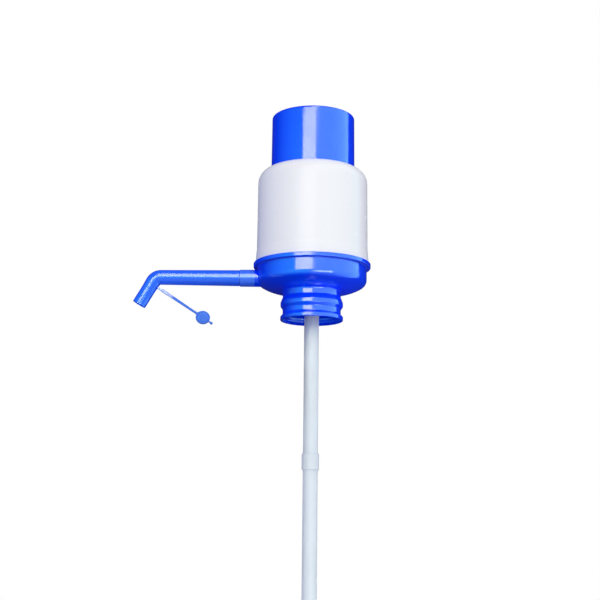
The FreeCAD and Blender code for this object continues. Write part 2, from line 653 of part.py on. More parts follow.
# ---------------------------------------------------------------- bellows and its clamps
def fold_line(offset):
    """Zigzag of the folds from the bottom up, starting at a root and ending at a crest."""
    steps = 2 * BELLOWS_FOLDS - 1
    pitch = (FOLDS_TOP - FOLDS_BOTTOM) / steps
    radii = [BELLOWS_ROOT_R - offset, BELLOWS_R - offset]
    return [(radii[i % 2], FOLDS_BOTTOM + pitch * i) for i in range(steps + 1)]


def bellows():
    """Soft moulded bellows with a flange to clamp at each end."""
    outside = [(CLAMP_R, DECK_TOP), (CLAMP_R, FOLDS_BOTTOM)] + fold_line(0)
    top = [(BELLOWS_R, PLATE_UNDER), (BELLOWS_TOP_BORE_R, PLATE_UNDER), (BELLOWS_TOP_BORE_R, FOLDS_TOP)]
    inside = list(reversed(fold_line(BELLOWS_WALL)))
    body = turned(outside + top + inside + [(BELLOWS_ROOT_R - BELLOWS_WALL, DECK_TOP)])
    body = drilled(body, SMALL_SCREW[2] + HOLE_FIT, clamp_screw_points(FOLDS_BOTTOM), BELLOWS_FLANGE_T)
    return drilled(body, SMALL_SCREW[2] + HOLE_FIT, post_points(PLATE_UNDER), BELLOWS_FLANGE_T)


def clamp_screw_points(height):
    return on_circle(CLAMP_SCREW_PCD_R, height, CLAMP_SCREW_COUNT)


def bellows_clamp_ring():
    body = ring(BELLOWS_R, CLAMP_R, FOLDS_BOTTOM, CLAMP_TOP)
    return drilled(body, SMALL_SCREW[2] + HOLE_FIT, clamp_screw_points(CLAMP_TOP), CLAMP_T)


def clamp_screws():
    screw_length = CLAMP_T + BELLOWS_FLANGE_T + DECK_T - END_GAP
    return copies(screw(SMALL_SCREW, screw_length), clamp_screw_points(CLAMP_TOP))


# ---------------------------------------------------------------- press cap and what hangs from it
def post_points(height):
    return on_circle(POST_PCD_R, height, POST_COUNT, POST_ANGLE)


def press_cap():
    """Cup that the palm pushes, with a flange that the housing's guide ring holds in."""
    ceiling = PRESS_TOP - PRESS_TOP_T
    dish_floor = PRESS_TOP - PRESS_DISH_DEPTH
    dish_r = PRESS_R - PRESS_RIM_W
    flange_r = PRESS_FOOT_R + FLANGE_W
    cup = turned([
        (0, dish_floor), (dish_r, dish_floor, PRESS_EDGE),
        (dish_r + PRESS_EDGE, PRESS_TOP, PRESS_EDGE), (PRESS_R, PRESS_TOP, PRESS_EDGE),
        (PRESS_FOOT_R, HOUSING_TOP), (PRESS_FOOT_R, FLANGE_TOP),
        (flange_r, FLANGE_TOP), (flange_r, PRESS_BOTTOM), (PRESS_BORE_R, PRESS_BOTTOM),
        (PRESS_BORE_R, ceiling, PRESS_EDGE / 2), (0, ceiling),
    ])
    pilot_r = SMALL_SCREW[2] + THREAD_FIT
    feet = post_points(PLATE_TOP)
    posts = [rod(POST_R, foot, Z_AXIS, ceiling - PLATE_TOP + SLIP) for foot in feet]
    pilots = [rod(pilot_r, foot, Z_AXIS, PILOT_DEPTH) for foot in feet]
    return cup.fuse(posts).cut(pilots)


def bellows_top_plate():
    """Disc on the cap's posts that closes the bellows and holds the inlet valve."""
    disc = valve_seat(PLATE_TOP, PLATE_T, PLATE_R)
    return drilled(disc, SMALL_SCREW[2] + HOLE_FIT, post_points(PLATE_TOP), PLATE_T)


def top_clamp_ring():
    body = ring(BELLOWS_TOP_BORE_R, BELLOWS_TOP_BORE_R + TOP_CLAMP_W, TOP_CLAMP_UNDER, FOLDS_TOP)
    return drilled(body, SMALL_SCREW[2] + HOLE_FIT, post_points(FOLDS_TOP), TOP_CLAMP_T)


def plate_screws():
    screw_length = PLATE_TOP - TOP_CLAMP_UNDER + PILOT_DEPTH - SMALL_SCREW[1]
    return copies(screw(SMALL_SCREW, screw_length, head_up=False), post_points(TOP_CLAMP_UNDER))


def inlet_flap():
    return flap_valve(PLATE_UNDER, PLATE_T)


# ---------------------------------------------------------------- housing
def roof_z(radius, inset):
    """Height of the sloping roof at a radius, drawn in by an inset."""
    slope = math.radians(ROOF_SLOPE)
    return HOUSING_TOP - (radius - MOUTH_R) * math.tan(slope) - inset / math.cos(slope)


def housing():
    """Tall shell with a round shoulder, a flared skirt and a guide ring inside its mouth."""
    shoulder_r = HOUSING_R - HOUSING_DRAFT
    inner_shoulder_r = HOUSING_BORE_R - HOUSING_DRAFT
    guide_r = MOUTH_R + MOUTH_LIP_WALL
    shell = turned([
        (FOOT_R, LEDGE_Z),
        (HOUSING_R + SKIRT_STEP, SKIRT_TOP),
        (HOUSING_R, SKIRT_TOP),
        (shoulder_r, roof_z(shoulder_r, 0), SHOULDER_R),
        (MOUTH_R, HOUSING_TOP, MOUTH_EDGE),
        (MOUTH_R, LIP_END_Z),
        (guide_r, LIP_END_Z),
        (guide_r, roof_z(guide_r, HOUSING_WALL)),
        (inner_shoulder_r, roof_z(inner_shoulder_r, HOUSING_WALL), SHOULDER_R - HOUSING_WALL),
        (HOUSING_BORE_R, SKIRT_TOP),
        (HOUSING_BORE_R, LEDGE_Z),
    ])
    return shell.cut(bayonet_slots())


def bayonet_slots():
    """Groove that the base's lugs turn in, and the ways into it from the foot."""
    slot_r = SPIGOT_R + LUG_DEPTH + LUG_GAP
    groove = ring(SPIGOT_R, slot_r, LUG_Z - LUG_GAP, LUG_Z + LUG_HEIGHT + LUG_GAP)
    way_foot = LEDGE_Z - END_GAP
    way_arc = LUG_ARC + LUG_WAY_PLAY
    way = outline([(SPIGOT_R, way_foot), (slot_r, way_foot), (slot_r, LUG_Z), (SPIGOT_R, LUG_Z)])
    way = way.revolve(ORIGIN, Z_AXIS, way_arc)
    cuts = [groove]
    for i in range(LUG_COUNT):
        copy = way.copy()
        copy.rotate(ORIGIN, Z_AXIS, FULL_TURN * (i + 0.5) / LUG_COUNT - way_arc / 2)
        cuts.append(copy)
    return cuts


# ---------------------------------------------------------------- dip tube
def tube_joint_z(index):
    """Height of the joint below a section. The first section hangs from the elbow's shoulder."""
    return TUBE_SEAT_Z - TUBE_SECTION * (index + 1)


def joiner_span(index):
    """Lowest and highest point of the joiner at a joint."""
    return tube_joint_z(index) - JOINER_LENGTH / 2, tube_joint_z(index) + JOINER_LENGTH / 2


def tube_section(index):
    """Section between two joints, slimmer where a joiner grips it."""
    top = TUBE_SEAT_Z - END_GAP if index == 0 else tube_joint_z(index - 1) - JOINER_STOP_T / 2
    bottom = tube_joint_z(index)
    if index < TUBE_SECTIONS - 1:
        bottom += JOINER_STOP_T / 2
    body = ring(TUBE_BORE_R, TUBE_R, bottom, top)
    for joint in (index - 1, index):
        if 0 <= joint < TUBE_SECTIONS - 1:
            body = body.cut(ring(GRIPPED_TUBE_R, 2 * TUBE_R, *joiner_span(joint)))
    return body


def tube_foot_slots():
    """Crossing slots that let water in when the foot stands on the jug's bottom."""
    below = tube_joint_z(TUBE_SECTIONS - 1) - END_GAP
    length = 4 * TUBE_R
    corner = V(-length / 2, -FOOT_SLOT_WIDTH / 2, below)
    one_way = Part.makeBox(length, FOOT_SLOT_WIDTH, FOOT_SLOT_HEIGHT + END_GAP, corner)
    other_way = one_way.copy()
    other_way.rotate(ORIGIN, Z_AXIS, 90)
    return [one_way, other_way]


def dip_tube_upper():
    return tube_section(0)


def dip_tube_middle():
    return tube_section(1)


def dip_tube_lower():
    return tube_section(2).cut(tube_foot_slots())


def tube_joiner(index):
    """Sleeve over two tube ends, with a stop rib that keeps them apart."""
    middle = tube_joint_z(index)
    bottom, top = joiner_span(index)
    outer_r = JOINER_SOCKET_R + JOINER_WALL
    body = turned([
        (TUBE_BORE_R, bottom), (outer_r, bottom, JOINER_WALL / 2),
        (outer_r, top, JOINER_WALL / 2), (TUBE_BORE_R, top),
    ])
    sockets = []
    for start, direction in ((middle + JOINER_STOP_T / 2, Z_AXIS), (middle - JOINER_STOP_T / 2, -Z_AXIS)):
        sockets.append(rod(JOINER_SOCKET_R, V(0, 0, start), direction, JOINER_LENGTH))
    return body.cut(sockets)


def tube_joiner_upper():
    return tube_joiner(0)


def tube_joiner_lower():
    return tube_joiner(1)


# ---------------------------------------------------------------- spout
def bend(radius):
    """Round bar that turns from level to the nozzle's direction."""
    disc = Part.Face(Part.Wire(Part.makeCircle(radius, BEND_START, X_AXIS)))
    return disc.revolve(BEND_START - Z_AXIS * BEND_CENTRE_R, -Y_AXIS, BEND_ANGLE)


def spout():
    """Tapered tube, bend and nozzle in one, with the tether's ear on the inner side."""
    tube_length = SPOUT_ROOT_X - BEND_START.x
    tube = Part.makeCone(SPOUT_ROOT_R, SPOUT_BEND_R, tube_length, V(SPOUT_ROOT_X, 0, AXIS_Z), -X_AXIS)
    nozzle_length = NOZZLE_LENGTH - BEND_TANGENT
    nozzle = turned([
        (0, 0), (SPOUT_BEND_R, 0), (NOZZLE_R, nozzle_length - NOZZLE_TIP_LENGTH),
        (NOZZLE_R, nozzle_length, NOZZLE_EDGE), (0, nozzle_length),
    ])
    nozzle_start = BEND_CORNER + NOZZLE_DIR * BEND_TANGENT
    body = tube.fuse([bend(SPOUT_BEND_R), placed(nozzle, nozzle_start, NOZZLE_DIR), tether_ear()])
    bores = [
        along_x(SOCKET_R, SPOUT_ROOT_X + END_GAP, SOCKET_END_X),
        along_x(SPOUT_BORE_R, SPOUT_ROOT_X, BEND_START.x),
        bend(SPOUT_BORE_R),
        rod(SPOUT_BORE_R, nozzle_start, NOZZLE_DIR, nozzle_length + END_GAP),
    ]
    return body.cut(bores)


def tether_ear():
    """Tapered lug between the fork's cheeks."""
    root = EAR_LENGTH - (SPOUT_BEND_R + SPOUT_BORE_R) / 2
    half = EAR_ROOT_WIDTH / 2
    lug = slab([(-root, -half), (0, -EAR_TIP_R), (0, EAR_TIP_R), (-root, half)], EAR_T)
    tip = rod(EAR_TIP_R, V(0, -EAR_T / 2, 0), Y_AXIS, EAR_T)
    hole = rod(TETHER_PIN_R + PIN_FIT, V(0, -EAR_T, 0), Y_AXIS, EAR_T * 2)
    return framed(lug.fuse(tip).cut(hole), TETHER_PIN, EAR_DIR, Y_AXIS, EAR_DIR.cross(Y_AXIS))


def tether_pin():
    """Small pin through the fork and the ear, headed at both ends."""
    half = FORK_T / 2 + SLIP
    body = turned([
        (0, -half - TETHER_PIN_HEAD_T), (TETHER_PIN_HEAD_R, -half - TETHER_PIN_HEAD_T, TETHER_PIN_HEAD_T / 2),
        (TETHER_PIN_HEAD_R, -half), (TETHER_PIN_R, -half), (TETHER_PIN_R, half), (TETHER_PIN_HEAD_R, half),
        (TETHER_PIN_HEAD_R, half + TETHER_PIN_HEAD_T, TETHER_PIN_HEAD_T / 2), (0, half + TETHER_PIN_HEAD_T),
    ])
    return placed(body, TETHER_PIN, Y_AXIS)


def cap_tether():
    """Stiff moulded strap that tapers from a fork on the pin to the dust cap's hinge line."""
    root = TETHER_ROOT_WIDTH / 2
    end = TETHER_END_WIDTH / 2
    edge = TETHER_T / 2
    start = FORK_SLOT_DEPTH
    strap = slab([(start, -root), (TETHER_LENGTH, -end), (TETHER_LENGTH, end), (start, root)], TETHER_T)
    cheeks = slab([(0, -root), (FORK_LENGTH, -root, edge), (FORK_LENGTH, root, edge), (0, root)], FORK_T)
    eye = rod(root, V(0, -FORK_T / 2, 0), Y_AXIS, FORK_T)
    clear = root * 2
    slot = slab([(-clear, -clear), (start, -clear), (start, clear), (-clear, clear)], EAR_T + 2 * SLIP)
    hole = rod(TETHER_PIN_R + PIN_FIT / 2, V(0, -FORK_T, 0), Y_AXIS, FORK_T * 2)
    body = cheeks.fuse([eye, strap]).cut([slot, hole])
    return framed(body, TETHER_PIN, TETHER_DIR, Y_AXIS, TETHER_DIR.cross(Y_AXIS))


def dust_cap():
    """Disc with a hollow plug for the nozzle's bore, a hinge tab and a pull tab."""
    plug_r = SPOUT_BORE_R - SLIP / 2
    face = CAP_T / 2
    back = -face
    disc = turned([(0, back), (CAP_R, back, CAP_EDGE), (CAP_R, face, CAP_EDGE), (0, face)])
    plug = turned([
        (plug_r - PLUG_WALL, back), (plug_r, back), (plug_r - PLUG_TAPER, back - PLUG_LENGTH),
        (plug_r - PLUG_WALL, back - PLUG_LENGTH),
    ])
    hinge_reach = CAP_R + CAP_HINGE_REACH
    hinge_corner = V(-hinge_reach, -CAP_HINGE_WIDTH / 2, back + CAP_EDGE)
    hinge = Part.makeBox(hinge_reach / 2, CAP_HINGE_WIDTH, CAP_T - 2 * CAP_EDGE, hinge_corner)
    tab_back = -PULL_TAB_T / 2
    neck_start = V(CAP_R / 2, -PULL_NECK_WIDTH / 2, tab_back)
    neck = Part.makeBox(PULL_TAB_REACH - CAP_R / 2, PULL_NECK_WIDTH, PULL_TAB_T, neck_start)
    knob = rod(PULL_TAB_R, V(PULL_TAB_REACH, 0, tab_back), Z_AXIS, PULL_TAB_T)
    body = disc.fuse([plug, hinge, neck, knob])
    return framed(body, CAP_CENTRE, TETHER_DIR, CAP_SIDE_DIR, CAP_FACE_DIR)


PIECES = (
    base_bowl, neck_gasket, water_elbow, outlet_nipple, nipple_nut, port_washer, spout_o_ring,
    valve_deck, deck_seal, deck_screws, outlet_flap, bellows, bellows_clamp_ring, clamp_screws,
    press_cap, bellows_top_plate, top_clamp_ring, plate_screws, inlet_flap, housing,
    dip_tube_upper, tube_joiner_upper, dip_tube_middle, tube_joiner_lower, dip_tube_lower,
    spout, tether_pin, cap_tether, dust_cap,
)

os.makedirs("parts", exist_ok=True)
for piece in PIECES:
    piece().exportStep(f"parts/{piece.__name__}.step")
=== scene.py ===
"""Looks of a hand pump for a large water jug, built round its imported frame.

Metres, in the frame's own axes: +Z runs up the pump's axis, the spout points along -X and the camera stands
on the -Y side. The frame holds every hard piece at its real size. This file gives each of them a finish, and
makes the soft and turned pieces anew: bellows, neck gasket, spout, tether, dust cap and the web between the
last two.
"""
from __future__ import annotations

import json
import logging
import math
from dataclasses import dataclass
from enum import Enum
from typing import ClassVar, Iterable, Sequence

import bmesh
import bpy
import numpy as np
from mathutils import Matrix, Vector


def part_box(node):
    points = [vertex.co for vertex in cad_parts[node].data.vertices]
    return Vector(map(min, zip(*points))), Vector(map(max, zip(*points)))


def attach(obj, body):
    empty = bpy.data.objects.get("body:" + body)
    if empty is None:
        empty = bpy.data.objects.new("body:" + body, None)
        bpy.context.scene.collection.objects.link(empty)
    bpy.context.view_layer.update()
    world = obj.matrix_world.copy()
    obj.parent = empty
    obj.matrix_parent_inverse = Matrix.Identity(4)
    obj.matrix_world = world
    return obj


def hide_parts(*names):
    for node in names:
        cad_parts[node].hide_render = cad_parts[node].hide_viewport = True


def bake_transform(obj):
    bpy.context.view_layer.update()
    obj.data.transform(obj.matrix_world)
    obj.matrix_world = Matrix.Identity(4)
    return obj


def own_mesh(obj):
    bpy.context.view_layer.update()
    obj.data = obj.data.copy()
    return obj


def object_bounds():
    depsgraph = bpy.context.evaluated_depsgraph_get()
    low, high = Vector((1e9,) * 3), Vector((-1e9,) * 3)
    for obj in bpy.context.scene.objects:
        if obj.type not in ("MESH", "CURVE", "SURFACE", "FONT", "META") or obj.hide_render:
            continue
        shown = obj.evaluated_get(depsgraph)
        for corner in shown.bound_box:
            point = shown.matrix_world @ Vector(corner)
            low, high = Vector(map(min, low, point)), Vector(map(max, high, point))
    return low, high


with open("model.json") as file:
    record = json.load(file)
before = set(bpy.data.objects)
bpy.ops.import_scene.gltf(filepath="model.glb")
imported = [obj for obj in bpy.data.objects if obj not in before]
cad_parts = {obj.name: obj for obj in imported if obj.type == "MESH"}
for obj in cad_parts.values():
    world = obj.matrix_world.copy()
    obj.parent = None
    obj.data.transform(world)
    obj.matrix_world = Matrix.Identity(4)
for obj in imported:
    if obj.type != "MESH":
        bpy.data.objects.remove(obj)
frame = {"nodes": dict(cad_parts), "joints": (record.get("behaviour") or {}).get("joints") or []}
CAD_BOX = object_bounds()

LOG = logging.getLogger("hand_pump")
MM = 0.001
FULL_TURN = 2 * math.pi
X_AXIS, Y_AXIS, Z_AXIS = np.eye(3)
SAME_POINT, WELD_DISTANCE = 1e-8, 1e-7
LEAST_LENGTH, LEAST_ANGLE, LEAST_COSINE = 1e-9, 1e-6, 1e-3
BLACK, WHITE = (0.0, 0.0, 0.0), (1.0, 1.0, 1.0)
Colour = tuple[float, float, float]
Span = tuple[float, float]
Array = np.ndarray


# ---------------------------------------------------------------- the frame's own sizes
def corners_of(node: str) -> tuple[Array, Array]:
    """Lowest and highest corner of a CAD node at rest."""
    low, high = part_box(node)
    return np.array(low), np.array(high)


def radius_of(node: str) -> float:
    """Outer radius of a CAD node that is round about the pump's axis."""
    low, high = corners_of(node)
    return float(high[1] - low[1]) / 2


def joint(name: str, fact: str) -> Array:
    """A row of numbers from the frame's record of a joint."""
    return np.array(next(entry for entry in frame["joints"] if entry["name"] == name)[fact])


# ---------------------------------------------------------------- surfaces from arrays
@dataclass(frozen=True)
class Place:
    """Origin and three axes that carry local coordinates into the frame."""

    origin: Array
    x: Array
    y: Array
    z: Array

    def carry(self, points: Array) -> Array:
        """Frame points of local ones: the origin plus each coordinate times its axis."""
        return self.origin + points @ np.stack([self.x, self.y, self.z])


UPRIGHT = Place(np.zeros(3), X_AXIS, Y_AXIS, Z_AXIS)


def angles(steps: int) -> Array:
    """Even steps round a full turn, from 0."""
    return np.linspace(0, FULL_TURN, steps, endpoint=False)


def lengths(rows: Array) -> Array:
    """Length of each row of numbers, as a column."""
    return np.linalg.norm(rows, axis=1, keepdims=True)


def rounded(corners: Sequence[tuple[float, ...]], steps: int = 6) -> Array:
    """Closed outline with its corners rounded.

    At a corner P with unit directions a and b to its neighbours, half the angle between them is
    h = arccos(a . b) / 2. A rounding of radius r has its centre at P + (a + b) / |a + b| * r / sin h, and
    touches the two sides at P + a * r / tan h and P + b * r / tan h. Between those its points turn evenly
    about the centre.

    Args:
        corners: (u, v) or (u, v, radius) of each corner, in order.
        steps: how many chords each rounding has.

    Returns:
        Outline points, one row each, with no point twice in a row.
    """
    table = np.array([(*corner, 0.0)[:3] for corner in corners])
    corner, radius = table[:, :2], table[:, 2:]
    back, ahead = (np.roll(corner, step, axis=0) - corner for step in (1, -1))
    back, ahead = back / lengths(back), ahead / lengths(ahead)
    half = np.arccos(np.clip((back * ahead).sum(1, keepdims=True), -1, 1)) / 2
    middle = back + ahead
    centre = corner + middle / np.maximum(lengths(middle), LEAST_LENGTH) * radius / np.sin(half)
    start, end = (corner + side * radius / np.tan(half) - centre for side in (back, ahead))
    sweep = np.maximum(math.pi - 2 * half, LEAST_ANGLE)[:, None]
    t = np.linspace(0, 1, steps + 1)[None, :, None]
    turn = (np.sin((1 - t) * sweep) * start[:, None] + np.sin(t * sweep) * end[:, None]) / np.sin(sweep)
    line = (centre[:, None] + turn).reshape(-1, 2)
    return line[lengths(line - np.roll(line, 1, axis=0))[:, 0] > SAME_POINT]


def turned(outline: Array, around: int = 96, place: Place = UPRIGHT) -> Array:
    """Closed outline turned about the local Z axis: (r cos a, r sin a, z) over a full turn of a.

    Args:
        outline: (radius, height) of each outline point.
        around: how many steps the turn has.
        place: where the local axes lie.

    Returns:
        Grid of points, angles by outline points.
    """
    angle = angles(around)[:, None]
    radius, height = outline[:, 0], outline[:, 1] + 0 * angle
    return place.carry(np.stack([radius * np.cos(angle), radius * np.sin(angle), height], -1))


def box_section(width: Array, depth: Array, edge: Array, steps: int = 5) -> Array:
    """Rounded rectangle at each station of a bar.

    The corners' centres are at (+-(w - e), +-(d - e)), with w and d half the width and depth and e the edge's
    radius, and each corner adds e times (cos a, sin a) over its own quarter turn of a.

    Args:
        width: half width at each station.
        depth: half depth at each station.
        edge: radius of the edges at each station.
        steps: chords in each corner.

    Returns:
        Array of stations by points by two.
    """
    quarter = np.repeat(np.arange(4), steps + 1)
    angle = (quarter + np.tile(np.linspace(0, 1, steps + 1), 4)) * math.pi / 2
    side_u, side_v = np.where(quarter % 3, -1.0, 1.0), np.where(quarter < 2, 1.0, -1.0)
    width, depth, edge = width[:, None], depth[:, None], edge[:, None]
    along_u = side_u * (width - edge) + edge * np.cos(angle)
    return np.stack([along_u, side_v * (depth - edge) + edge * np.sin(angle)], -1)


def bar(stations: Array, width: Array | float, depth: Array | float, edge: float, place: Place) -> Array:
    """Closed bar along the local X axis whose section changes on the way.

    The first and last stations close onto a point. At a distance s from either end, less than the edge's
    radius e, the section is drawn in by e - sqrt(e^2 - (e - s)^2), a quarter round. Its own edges shrink with
    it to a twentieth of their radius.

    Args:
        stations: local X of the stations, from one end to the other.
        width: half size along local Z, at each station or throughout.
        depth: half size along local Y, at each station or throughout.
        edge: radius of all edges.
        place: where the local axes lie.

    Returns:
        Grid of points, stations by points round the section.
    """
    ends = edge * (1 - np.cos(np.linspace(0, math.pi / 2, 6)))
    inner = stations[(stations > stations[0] + edge) & (stations < stations[-1] - edge)]
    at = np.concatenate([stations[0] + ends, inner, (stations[-1] - ends)[::-1]])
    from_end = np.minimum(np.minimum(at - at[0], at[-1] - at), edge)
    drawn_in = edge - np.sqrt(np.maximum(edge**2 - (edge - from_end) ** 2, 0))
    half_w, half_d = (np.interp(at, stations, size + 0 * stations) - drawn_in for size in (width, depth))
    section = box_section(half_w, half_d, np.maximum(edge - drawn_in, edge / 20))
    along = np.broadcast_to(at[:, None], section.shape[:2])
    points = np.stack([along, section[..., 1], section[..., 0]], -1)
    tips = [np.broadcast_to(row.mean(1, keepdims=True), row.shape) for row in (points[:1], points[-1:])]
    return place.carry(np.concatenate([tips[0], points, tips[1]]))


def eyelet(reach: Array, hole: float, depth: float, edge: float, place: Place) -> Array:
    """Flat plate round a hole, closed like a ring.

    Seen along local Y the plate runs from the hole's radius to its own rim. At every angle the section is a
    rounded rectangle between those two, as thick as the plate.

    Args:
        reach: distance from the hole's centre to the rim, at even steps round a turn in the local XZ plane.
        hole: radius of the hole.
        depth: the plate's thickness.
        edge: radius of its edges.
        place: where the local axes lie.

    Returns:
        Grid of points, angles by points round the section.
    """
    angle = angles(len(reach))
    section = box_section((reach - hole) / 2, depth / 2 + 0 * reach, edge + 0 * reach, steps=3)
    radial = (reach + hole)[:, None] / 2 + section[..., 0]
    direction = np.stack([np.cos(angle), 0 * angle, np.sin(angle)], -1)[:, None]
    return place.carry(radial[..., None] * direction + section[..., 1:] * Y_AXIS)


def quads(rows: int, columns: int, wrap_rows: bool, wrap_columns: bool) -> Array:
    """Faces of a grid of points.

    Args:
        rows: how many rows of points there are.
        columns: how many points each row has.
        wrap_rows: whether the last row joins the first.
        wrap_columns: whether each row's last point joins its first.

    Returns:
        Four point numbers for each face.
    """
    row = np.arange(rows if wrap_rows else rows - 1)[:, None]
    column = np.arange(columns if wrap_columns else columns - 1)[None, :]
    below, beside = (row + 1) % rows * columns, (column + 1) % columns
    corners = [row * columns + column, row * columns + beside, below + beside, below + column]
    return np.stack(np.broadcast_arrays(*corners), -1).reshape(-1, 4)


def grid_mesh(name: str, grid: Array, wrap_rows: bool = False, wrap_columns: bool = True) -> bpy.types.Mesh:
    """Mesh through a grid of points.

    Args:
        name: what it is called.
        grid: rows by columns by three.
        wrap_rows: whether the last row joins the first.
        wrap_columns: whether each row's last point joins its first.

    Returns:
        The mesh.
    """
    faces = quads(*grid.shape[:2], wrap_rows, wrap_columns)
    mesh = bpy.data.meshes.new(name)
    mesh.from_pydata(grid.reshape(-1, 3).tolist(), [], faces.tolist())
    return mesh


def linked(name: str, data: bpy.types.ID) -> bpy.types.Object:
    """A new object of the data, in the scene.

    Args:
        name: what it is called.
        data: its mesh, camera or light.

    Returns:
        The object.
    """
    item = bpy.data.objects.new(name, data)
    bpy.context.scene.collection.objects.link(item)
    return item


class Shape:
    """A closed mesh in the making, from one or more grids of points."""

    def __init__(self, name: str) -> None:
        """Starts an empty shape with the name that its object will have."""
        self.name = name
        self.parts: list[bpy.types.Mesh] = []

    def add(self, grid: Array, wrap_rows: bool = True) -> Shape:
        """Adds one closed surface.

        Args:
            grid: points, rows by columns by three, closed along the columns.
            wrap_rows: whether the last row joins the first. If not, the end rows have closed onto a point.

        Returns:
            The shape itself.
        """
        mesh = grid_mesh(f"{self.name}_part", grid, wrap_rows)
        work = bmesh.new()
        work.from_mesh(mesh)
        bmesh.ops.remove_doubles(work, verts=work.verts, dist=WELD_DISTANCE)
        bmesh.ops.dissolve_degenerate(work, edges=work.edges, dist=WELD_DISTANCE)
        bmesh.ops.recalc_face_normals(work, faces=work.faces)
        work.to_mesh(mesh)
        work.free()
        self.parts.append(mesh)
        return self

    def finish(self, sharp: float = 40.0) -> bpy.types.Object:
        """Joins the surfaces into one solid, and shades it smooth except at sharp edges.

        Args:
            sharp: degrees between two faces from which their edge stays sharp.

        Returns:
            The object, at the origin.
        """
        item = linked(self.name, self.parts[0])
        for part in self.parts[1:]:
            tool = linked(part.name, part)
            union = item.modifiers.new("union", "BOOLEAN")
            union.operation, union.solver, union.object = "UNION", "EXACT", tool
            joined = item.evaluated_get(bpy.context.evaluated_depsgraph_get())
            item.data = bpy.data.meshes.new_from_object(joined)
            item.modifiers.clear()
            bpy.data.objects.remove(tool)
        mesh = item.data
        mesh.name = self.name
        mesh.materials.clear()
        mesh.polygons.foreach_set("use_smooth", np.ones(len(mesh.polygons), bool))
        mesh.set_sharp_from_angle(angle=math.radians(sharp))
        return item


# ---------------------------------------------------------------- shaders
class Signal:
    """A value on its way through a shader. Arithmetic on it adds Math nodes."""

    def __init__(self, graph: Graph, socket: bpy.types.NodeSocket) -> None:
        """Wraps an output socket of the graph."""
        self.graph = graph
        self.socket = socket

    def _math(self, operation: str, *values: Signal | float) -> Signal:
        """A Math node on the values."""
        return self.graph.add("Math", dict(enumerate(values)), operation=operation)

    def __add__(self, other: Signal | float) -> Signal:
        """Sum."""
        return self._math("ADD", self, other)

    def __sub__(self, other: Signal | float) -> Signal:
        """Difference."""
        return self._math("SUBTRACT", self, other)

    def __rsub__(self, other: Signal | float) -> Signal:
        """Difference from a number."""
        return self._math("SUBTRACT", other, self)

    def __mul__(self, other: Signal | float) -> Signal:
        """Product."""
        return self._math("MULTIPLY", self, other)

    __radd__ = __add__
    __rmul__ = __mul__

    def __abs__(self) -> Signal:
        """Size without sign."""
        return self._math("ABSOLUTE", self)

    def largest(self, other: Signal | float) -> Signal:
        """The larger of two values."""
        return self._math("MAXIMUM", self, other)

    def rise(self, low: float, high: float) -> Signal:
        """Smooth step from 0 at low to 1 at high. With low above high it falls instead."""
        ends = {"Value": self, "From Min": low, "From Max": high}
        return self.graph.add("MapRange", ends, interpolation_type="SMOOTHSTEP")


class Grain:
    """Noises by what they stand for: features in each metre, finer layers, and how far each warps itself."""

    FLOW = (26, 3, 0.6)
    HANDLED = (70, 4, 1.2)
    HAIRLINE = (420, 3, 0)
    SPECK = (900, 3, 0)
    DUST = (380, 5, 0)
    WAVES = (55, 1, 0)
    DRAWN = (1500, 2, 0)
    MILKY = (60, 3, 0)
    SOFT_CLOUD = (120, 4, 0.8)
    SOFT_DUST = (420, 5, 0)
    RUBBER = (900, 3, 0)
    FOAM = (2600, 3, 0)
    SILICONE = (500, 3, 0)
    STRAP = (400, 3, 0)
    HIGHLIGHT_MOTTLE = (400, 2, 0)
    LATHE = (1800, 2, 0)
    STEEL = (260, 3, 0)


